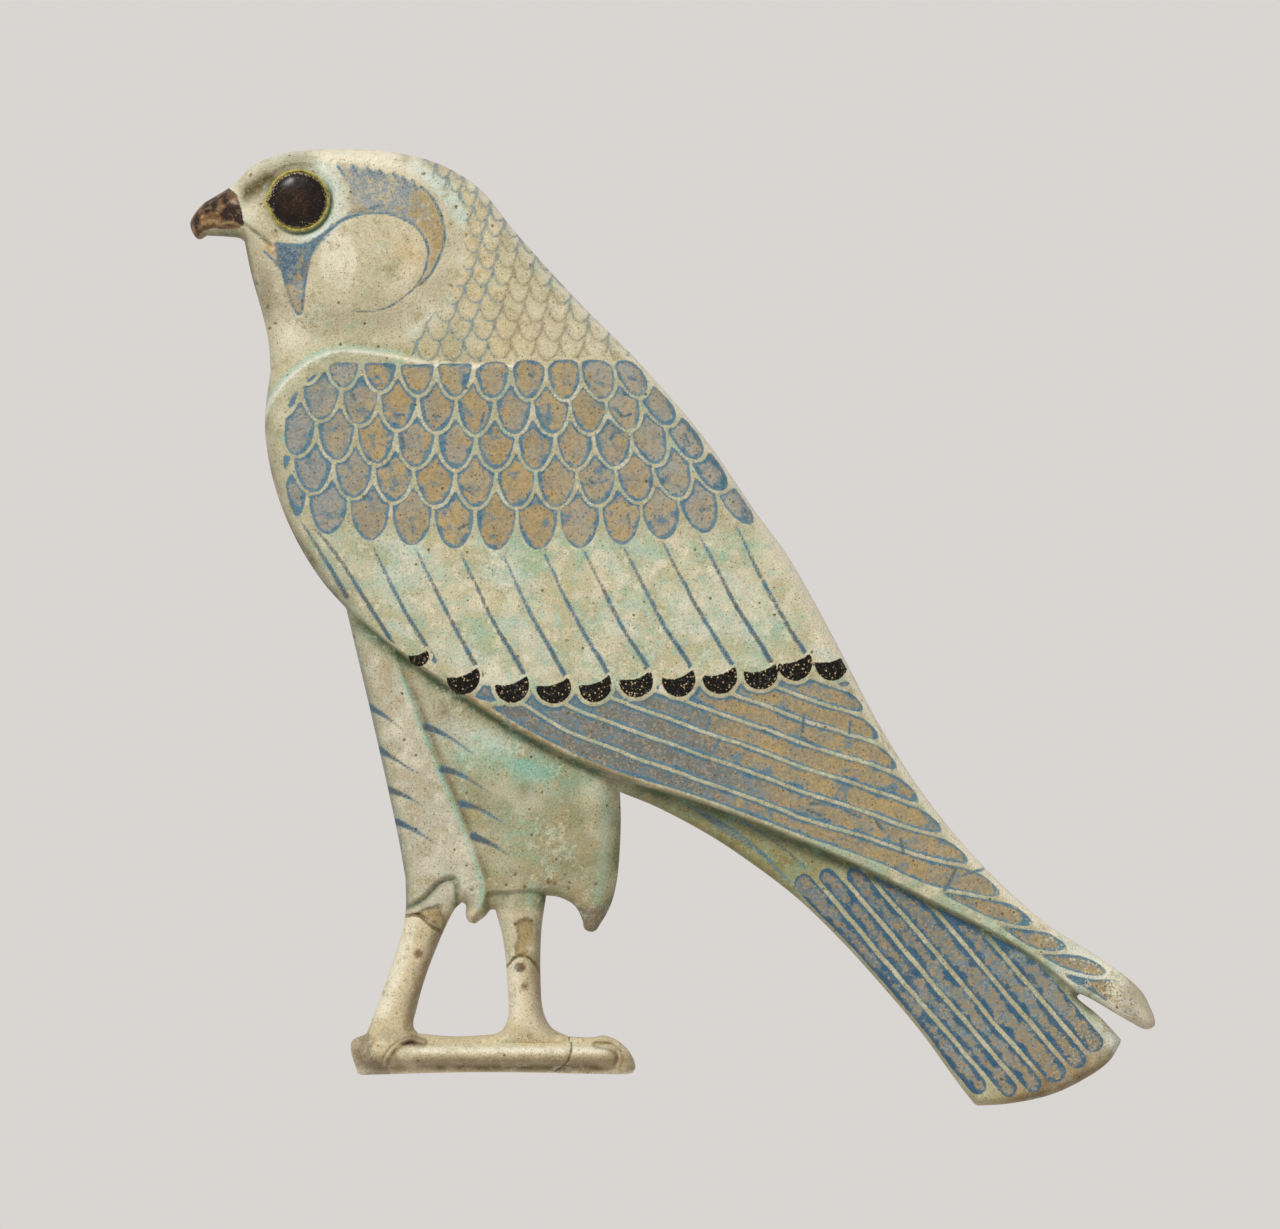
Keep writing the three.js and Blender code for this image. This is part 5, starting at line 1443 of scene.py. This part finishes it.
def paint_fields(p, colours):
    """Everything that the material reads from the mesh, in units."""
    x, z = p.x, p.z
    long = np.where(p.long > 0, p.long * 1.5, p.long)
    cell = np.maximum(np.maximum(p.short, long), p.tail)
    temple = np.maximum(p.patch(TEMPLE), p.patch(MOUSTACHE))
    crescent = p.patch(CRESCENT)
    in_wing = across(0, 0.3, p.above_wing_edge)
    # grime along the cracks, with painted shadow along the fore leg's break; then the pits, the stains and the
    # chipped breast edge
    dirt_and_shadow = 0.9 * bead(p.crack, 0.12)
    for spot in PITS:
        dirt_and_shadow = np.maximum(dirt_and_shadow, bead(p.from_spot(spot), 0.24))
    for spot, reach in STAINS:
        dirt_and_shadow = np.maximum(dirt_and_shadow, 0.2 * bead(p.from_spot(spot), reach))
    chipped = across(0.3, 0.8, ripple(x, z, 0.9, 81)) * across(0.5, 0.1, p.rim) * across(-31, -33, x)
    dirt_and_shadow = np.maximum(dirt_and_shadow, 0.8 * chipped * across(-4, -2, z) * across(14, 8, z))
    under_lid = across(0.85, 0.5, p.from_eye) * across(0.24, 0.36, p.from_eye)
    lower_right = across(-0.2, 1.2, (x - EYE_CENTRE[0]) / EYE_REACH[0] - (z - EYE_CENTRE[1]) / EYE_REACH[1])
    return {
        "ground": ground_colours(p, colours),
        "fill": fill_colours(p, colours),
        "cell": cell,
        "in_tail": (p.tail >= cell - 1e-6).astype(float),
        "line": np.minimum(p.paint, p.groove),
        "face": across(31.5, 32.3, z) * across(-22.5, -23.5, x)
        * (1 - 0.85 * across(37.5, 34.5, z) * across(-35, -31, x)),
        "wear": in_wing * np.maximum(0.75 * across(43.0, 47.0, x),
                                     0.4 * across(3.0, 1.2, p.rim) * across(28, 34, x)),
        "yellow": 0.85 * across(20, 31, p.along_tail + 0.7 * (x - 40)) * across(-16, -22, z)
        * across(5, 16, x) * across(-0.3, 0.2, p.tail) + 0.9 * across(41.0, 46.5, x) * in_wing,
        "net": np.where(p.nape > 0, p.net, p.net - 2 * p.nape)
        + FAR * across(-0.15, 0.1, p.below_shoulder) + FAR * across(-0.3, -0.1, p.short),
        "brown": across(-19.5, -16.5, x) * across(0.8, 2.0, p.rim),
        "patch": np.maximum(temple, crescent * 0.4 - 0.12 - 0.3 * across(-32.0, -26.0, x)),
        "core": np.minimum(p.patch(MOUSTACHE) + 0.1,
                           across(35.0, 37.2, z) + 0.3 * ripple(x, z, 0.9, 83) - 0.35),
        "warm": (0.42 + 0.4 * across(43.0, 38.0, z)) * across(-0.1, 0.6, crescent)
        + 0.42 * across(0.0, 0.3, p.patch(MOUSTACHE)) * across(37.6, 36.4, z)
        + 0.7 * bead(p.drawn(WARM_STREAK)[0], 0.24) + 0.7 * bead(p.drawn(WARM_BAND)[0], 0.35),
        "tip": np.minimum(p.black, p.rim - 0.3),
        "beak": p.patch(BEAK),
        "low_beak": 0.35 * across(43.8, 42.2, z) + 0.35 * p.blot(-45.9, 44.6, 1.0) - 0.15,
        "seam": bead(p.drawn(BEAK_SEAM)[0], 0.14),
        "lid": across(0.36, 0.27, p.from_eye),
        # painted shadow outside the lid, strongest to the lower right
        "shade": under_lid * (0.15 + 0.8 * lower_right),
        "dirt_and_shadow": dirt_and_shadow,
        "middle": p.middle,
        "root": (1 - in_wing) * across(-5.8, -5.0, x) * across(2, -2, p.along_tail),
    }


def give_fields(mesh, fields, sources, colours):
    """Writes the fields as attributes: the front's own, the walls' from the edge above, the back plain."""
    total = len(mesh.vertices)
    walls = np.concatenate(sources)
    unpainted = {"line": FAR, "net": FAR, **dict.fromkeys(("cell", "patch", "core", "tip", "beak"), -FAR)}
    for name, values in fields.items():
        rest = total - len(values) - len(walls)
        if values.ndim == 2:
            wall = values[walls] * 0.6 + np.array(colours.earth) * 0.4
            plain_back = np.tile(np.array(colours.bone) * 0.8, (rest, 1))
            whole = np.hstack([np.vstack([values, wall, plain_back]), np.ones((total, 1))])
            mesh.attributes.new(name, "FLOAT_COLOR", "POINT").data.foreach_set("color", whole.ravel())
        else:
            back = unpainted.get(name, 0.0)
            wall = values[walls] if name in ("beak", "low_beak") else np.full(len(walls), back)
            whole = np.concatenate([values, wall, np.full(rest, back)])
            mesh.attributes.new(name, "FLOAT", "POINT").data.foreach_set("value", whole)


def model_eye(sizes):
    """The eye: a flattened dome with a point at its front corner, its side extruded back into the seat."""
    deselect()
    face = -EYE_LOW.y - sizes.eye_dome
    centre = Vector((EYE_CENTRE[0] * UNIT, -face, EYE_CENTRE[1] * UNIT))
    bpy.ops.mesh.primitive_uv_sphere_add(segments=96, ring_count=48, radius=1, rotation=(math.pi / 2, 0, 0))
    made = bpy.context.object
    made.name = made.data.name = "eye_disc"
    bpy.ops.object.transform_apply(rotation=True)
    bpy.ops.object.mode_set(mode="EDIT")
    bpy.ops.mesh.select_all(action="SELECT")
    bpy.ops.mesh.bisect(plane_co=(0, 0, 0), plane_no=(0, 1, 0), clear_outer=True, clear_inner=False)
    bpy.ops.mesh.extrude_region_move(TRANSFORM_OT_translate={"value": (0, 1.2, 0)})
    bpy.ops.mesh.edge_face_add()
    bpy.ops.object.mode_set(mode="OBJECT")
    points = coordinates(made.data)
    reach = np.hypot(points[:, 0], points[:, 2])
    corner = 1 + 0.085 * eye_corner(points[:, 0], points[:, 2]) * across(0.5, 1.0, reach)
    ring = np.clip(reach, 0, 1)
    wide = (EYE_HIGH.x - EYE_LOW.x) / 2 * 1.02
    tall = (EYE_HIGH.z - EYE_LOW.z) / 2 * 0.99
    dome = sizes.eye_dome * 0.94 * np.sign(points[:, 1]) * np.abs(points[:, 1])
    x = centre.x + points[:, 0] * wide * corner
    z = centre.z + points[:, 2] * tall
    uneven = 0.05 * MM * ripple(x / UNIT, z / UNIT, 0.9, 91) * (ring < 0.97)
    place_vertices(made.data, np.column_stack([x, centre.y + dome + uneven, z]))
    made.data.attributes.new("ring", "FLOAT", "POINT").data.foreach_set("value", ring)
    tidy_mesh(made)
    return made


class FALCON_OT_body(bpy.types.Operator):
    """Models the falcon's body in relief and paints it"""
    bl_idname = "falcon.body"
    bl_label = "Falcon body"

    def execute(self, context):
        scene = context.scene
        body = model_body(scene.falcon_sizes, scene.falcon_colours)
        body.data.materials.clear()
        body.data.materials.append(faience(scene.falcon_colours))
        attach(body, "root")
        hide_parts("falcon_body")
        return {"FINISHED"}


class FALCON_OT_eye(bpy.types.Operator):
    """Models the dark domed eye"""
    bl_idname = "falcon.eye"
    bl_label = "Falcon eye"

    def execute(self, context):
        scene = context.scene
        eye = model_eye(scene.falcon_sizes)
        eye.data.materials.append(eye_glaze(scene.falcon_colours))
        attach(eye, "root")
        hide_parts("eye")
        return {"FINISHED"}


class StageSettings(bpy.types.PropertyGroup):
    """Floor, light and camera."""
    floor: length("Floor", "Width of the floor", 5200)
    drop: length("Drop", "How far the floor lies below the figure", 280)
    lens: FloatProperty(name="Lens", description="Focal length in millimetres", default=400, min=20)
    key: FloatProperty(name="Key light", description="Strength of the broad main light", default=1.85, min=0)
    spread: FloatProperty(name="Spread", description="How wide the main light looks from the figure",
                          default=math.radians(14), subtype="ANGLE", min=0)
    sky: FloatProperty(name="Sky", description="Strength of the light from all sides", default=1.0, min=0)


def floor_and_backdrop(settings, colours):
    """A pale floor below the figure, and an even sky of the same tone behind it."""
    deselect()
    bpy.ops.mesh.primitive_plane_add(size=settings.floor, location=(0, 0, BODY_LOW.z - settings.drop))
    stage = bpy.context.object
    stage.name = "stage"
    stage.data.materials.append(plain("stage", tuple(colours.stage), 0.9))
    # even behind the figure; in front of it the light falls off from the upper left to the lower right
    sky = Shader(bpy.data.worlds.new("sky"), place="Generated")
    product = {"operation": "DOT_PRODUCT"}
    slope, behind = (sky.node("ShaderNodeVectorMath", product, {0: sky.place, 1: way}, "Value")
                     for way in (KEY_DIRECTION, (0, 1, 0)))
    front = sky.node("ShaderNodeMapRange", {}, {"Value": slope, "From Min": -1, "To Min": settings.sky * 0.15,
                                                "To Max": settings.sky * 0.95})
    strength = sky.node("ShaderNodeMapRange", {}, {"Value": behind, "From Min": 0.1, "From Max": 0.6,
                                                   "To Min": front, "To Max": settings.sky})
    background = sky.tree.nodes["Background"]
    sky.join(background.inputs["Color"], tuple(colours.stage))
    sky.join(background.inputs["Strength"], strength)
    bpy.context.scene.world = sky.owner


def main_light(settings):
    """One broad soft light from the upper left in front."""
    deselect()
    place = Vector(KEY_DIRECTION)
    bpy.ops.object.light_add(type="SUN", location=place)
    light = bpy.context.object
    light.name = "main_light"
    light.data.energy = settings.key
    light.data.angle = settings.spread
    light.rotation_euler = (-place).to_track_quat("-Z", "Y").to_euler()


def photo_camera(settings):
    """A long lens that takes the photograph's frame, square on to the figure."""
    metre_per_pixel = (BODY_HIGH.z - BODY_LOW.z) / PHOTO_FIGURE
    across_frame = PHOTO_SIZE[0] * metre_per_pixel
    x = (PHOTO_SIZE[0] / 2 - PHOTO_ORIGIN[0]) * metre_per_pixel
    z = (PHOTO_ORIGIN[1] - PHOTO_SIZE[1] / 2) * metre_per_pixel
    deselect()
    bpy.ops.object.camera_add(rotation=(math.pi / 2, 0, 0))
    camera = bpy.context.object
    camera.name = "camera"
    camera.data.lens = settings.lens
    outline_plane = -4.2 * MM
    distance = across_frame * settings.lens / camera.data.sensor_width
    camera.location = (x, outline_plane - distance, z)
    bpy.context.scene.camera = camera


class FALCON_OT_stage(bpy.types.Operator):
    """Sets up the floor, the backdrop, the lights and the camera"""
    bl_idname = "falcon.stage"
    bl_label = "Falcon stage"

    def execute(self, context):
        scene = context.scene
        settings = scene.falcon_stage
        floor_and_backdrop(settings, scene.falcon_colours)
        main_light(settings)
        scene.view_settings.view_transform = "Standard"
        photo_camera(settings)
        return {"FINISHED"}


class FALCON_PT_panel(bpy.types.Panel):
    """Lists the falcon's pieces and their sizes"""
    bl_idname = "FALCON_PT_panel"
    bl_label = "Falcon inlay"
    bl_space_type = "VIEW_3D"
    bl_region_type = "UI"
    bl_category = "Falcon"

    def draw(self, context):
        column = self.layout.column()
        for operator in OPERATORS:
            column.operator(operator.bl_idname)
        for group in (context.scene.falcon_sizes, context.scene.falcon_colours, context.scene.falcon_stage):
            for name in group.__annotations__:
                column.prop(group, name)


OPERATORS = (FALCON_OT_body, FALCON_OT_eye, FALCON_OT_stage)
GROUPS = {"falcon_sizes": FalconSizes, "falcon_colours": FalconColours, "falcon_stage": StageSettings}


def register():
    for made in (*GROUPS.values(), *OPERATORS, FALCON_PT_panel):
        bpy.utils.register_class(made)
    for name, group in GROUPS.items():
        setattr(bpy.types.Scene, name, PointerProperty(type=group))


def unregister():
    for name in GROUPS:
        delattr(bpy.types.Scene, name)
    for made in (FALCON_PT_panel, *reversed(OPERATORS), *reversed(GROUPS.values())):
        bpy.utils.unregister_class(made)


def main():
    register()
    bpy.ops.falcon.stage()
    bpy.ops.falcon.body()
    bpy.ops.falcon.eye()
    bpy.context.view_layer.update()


if __name__ == "__main__":
    main()
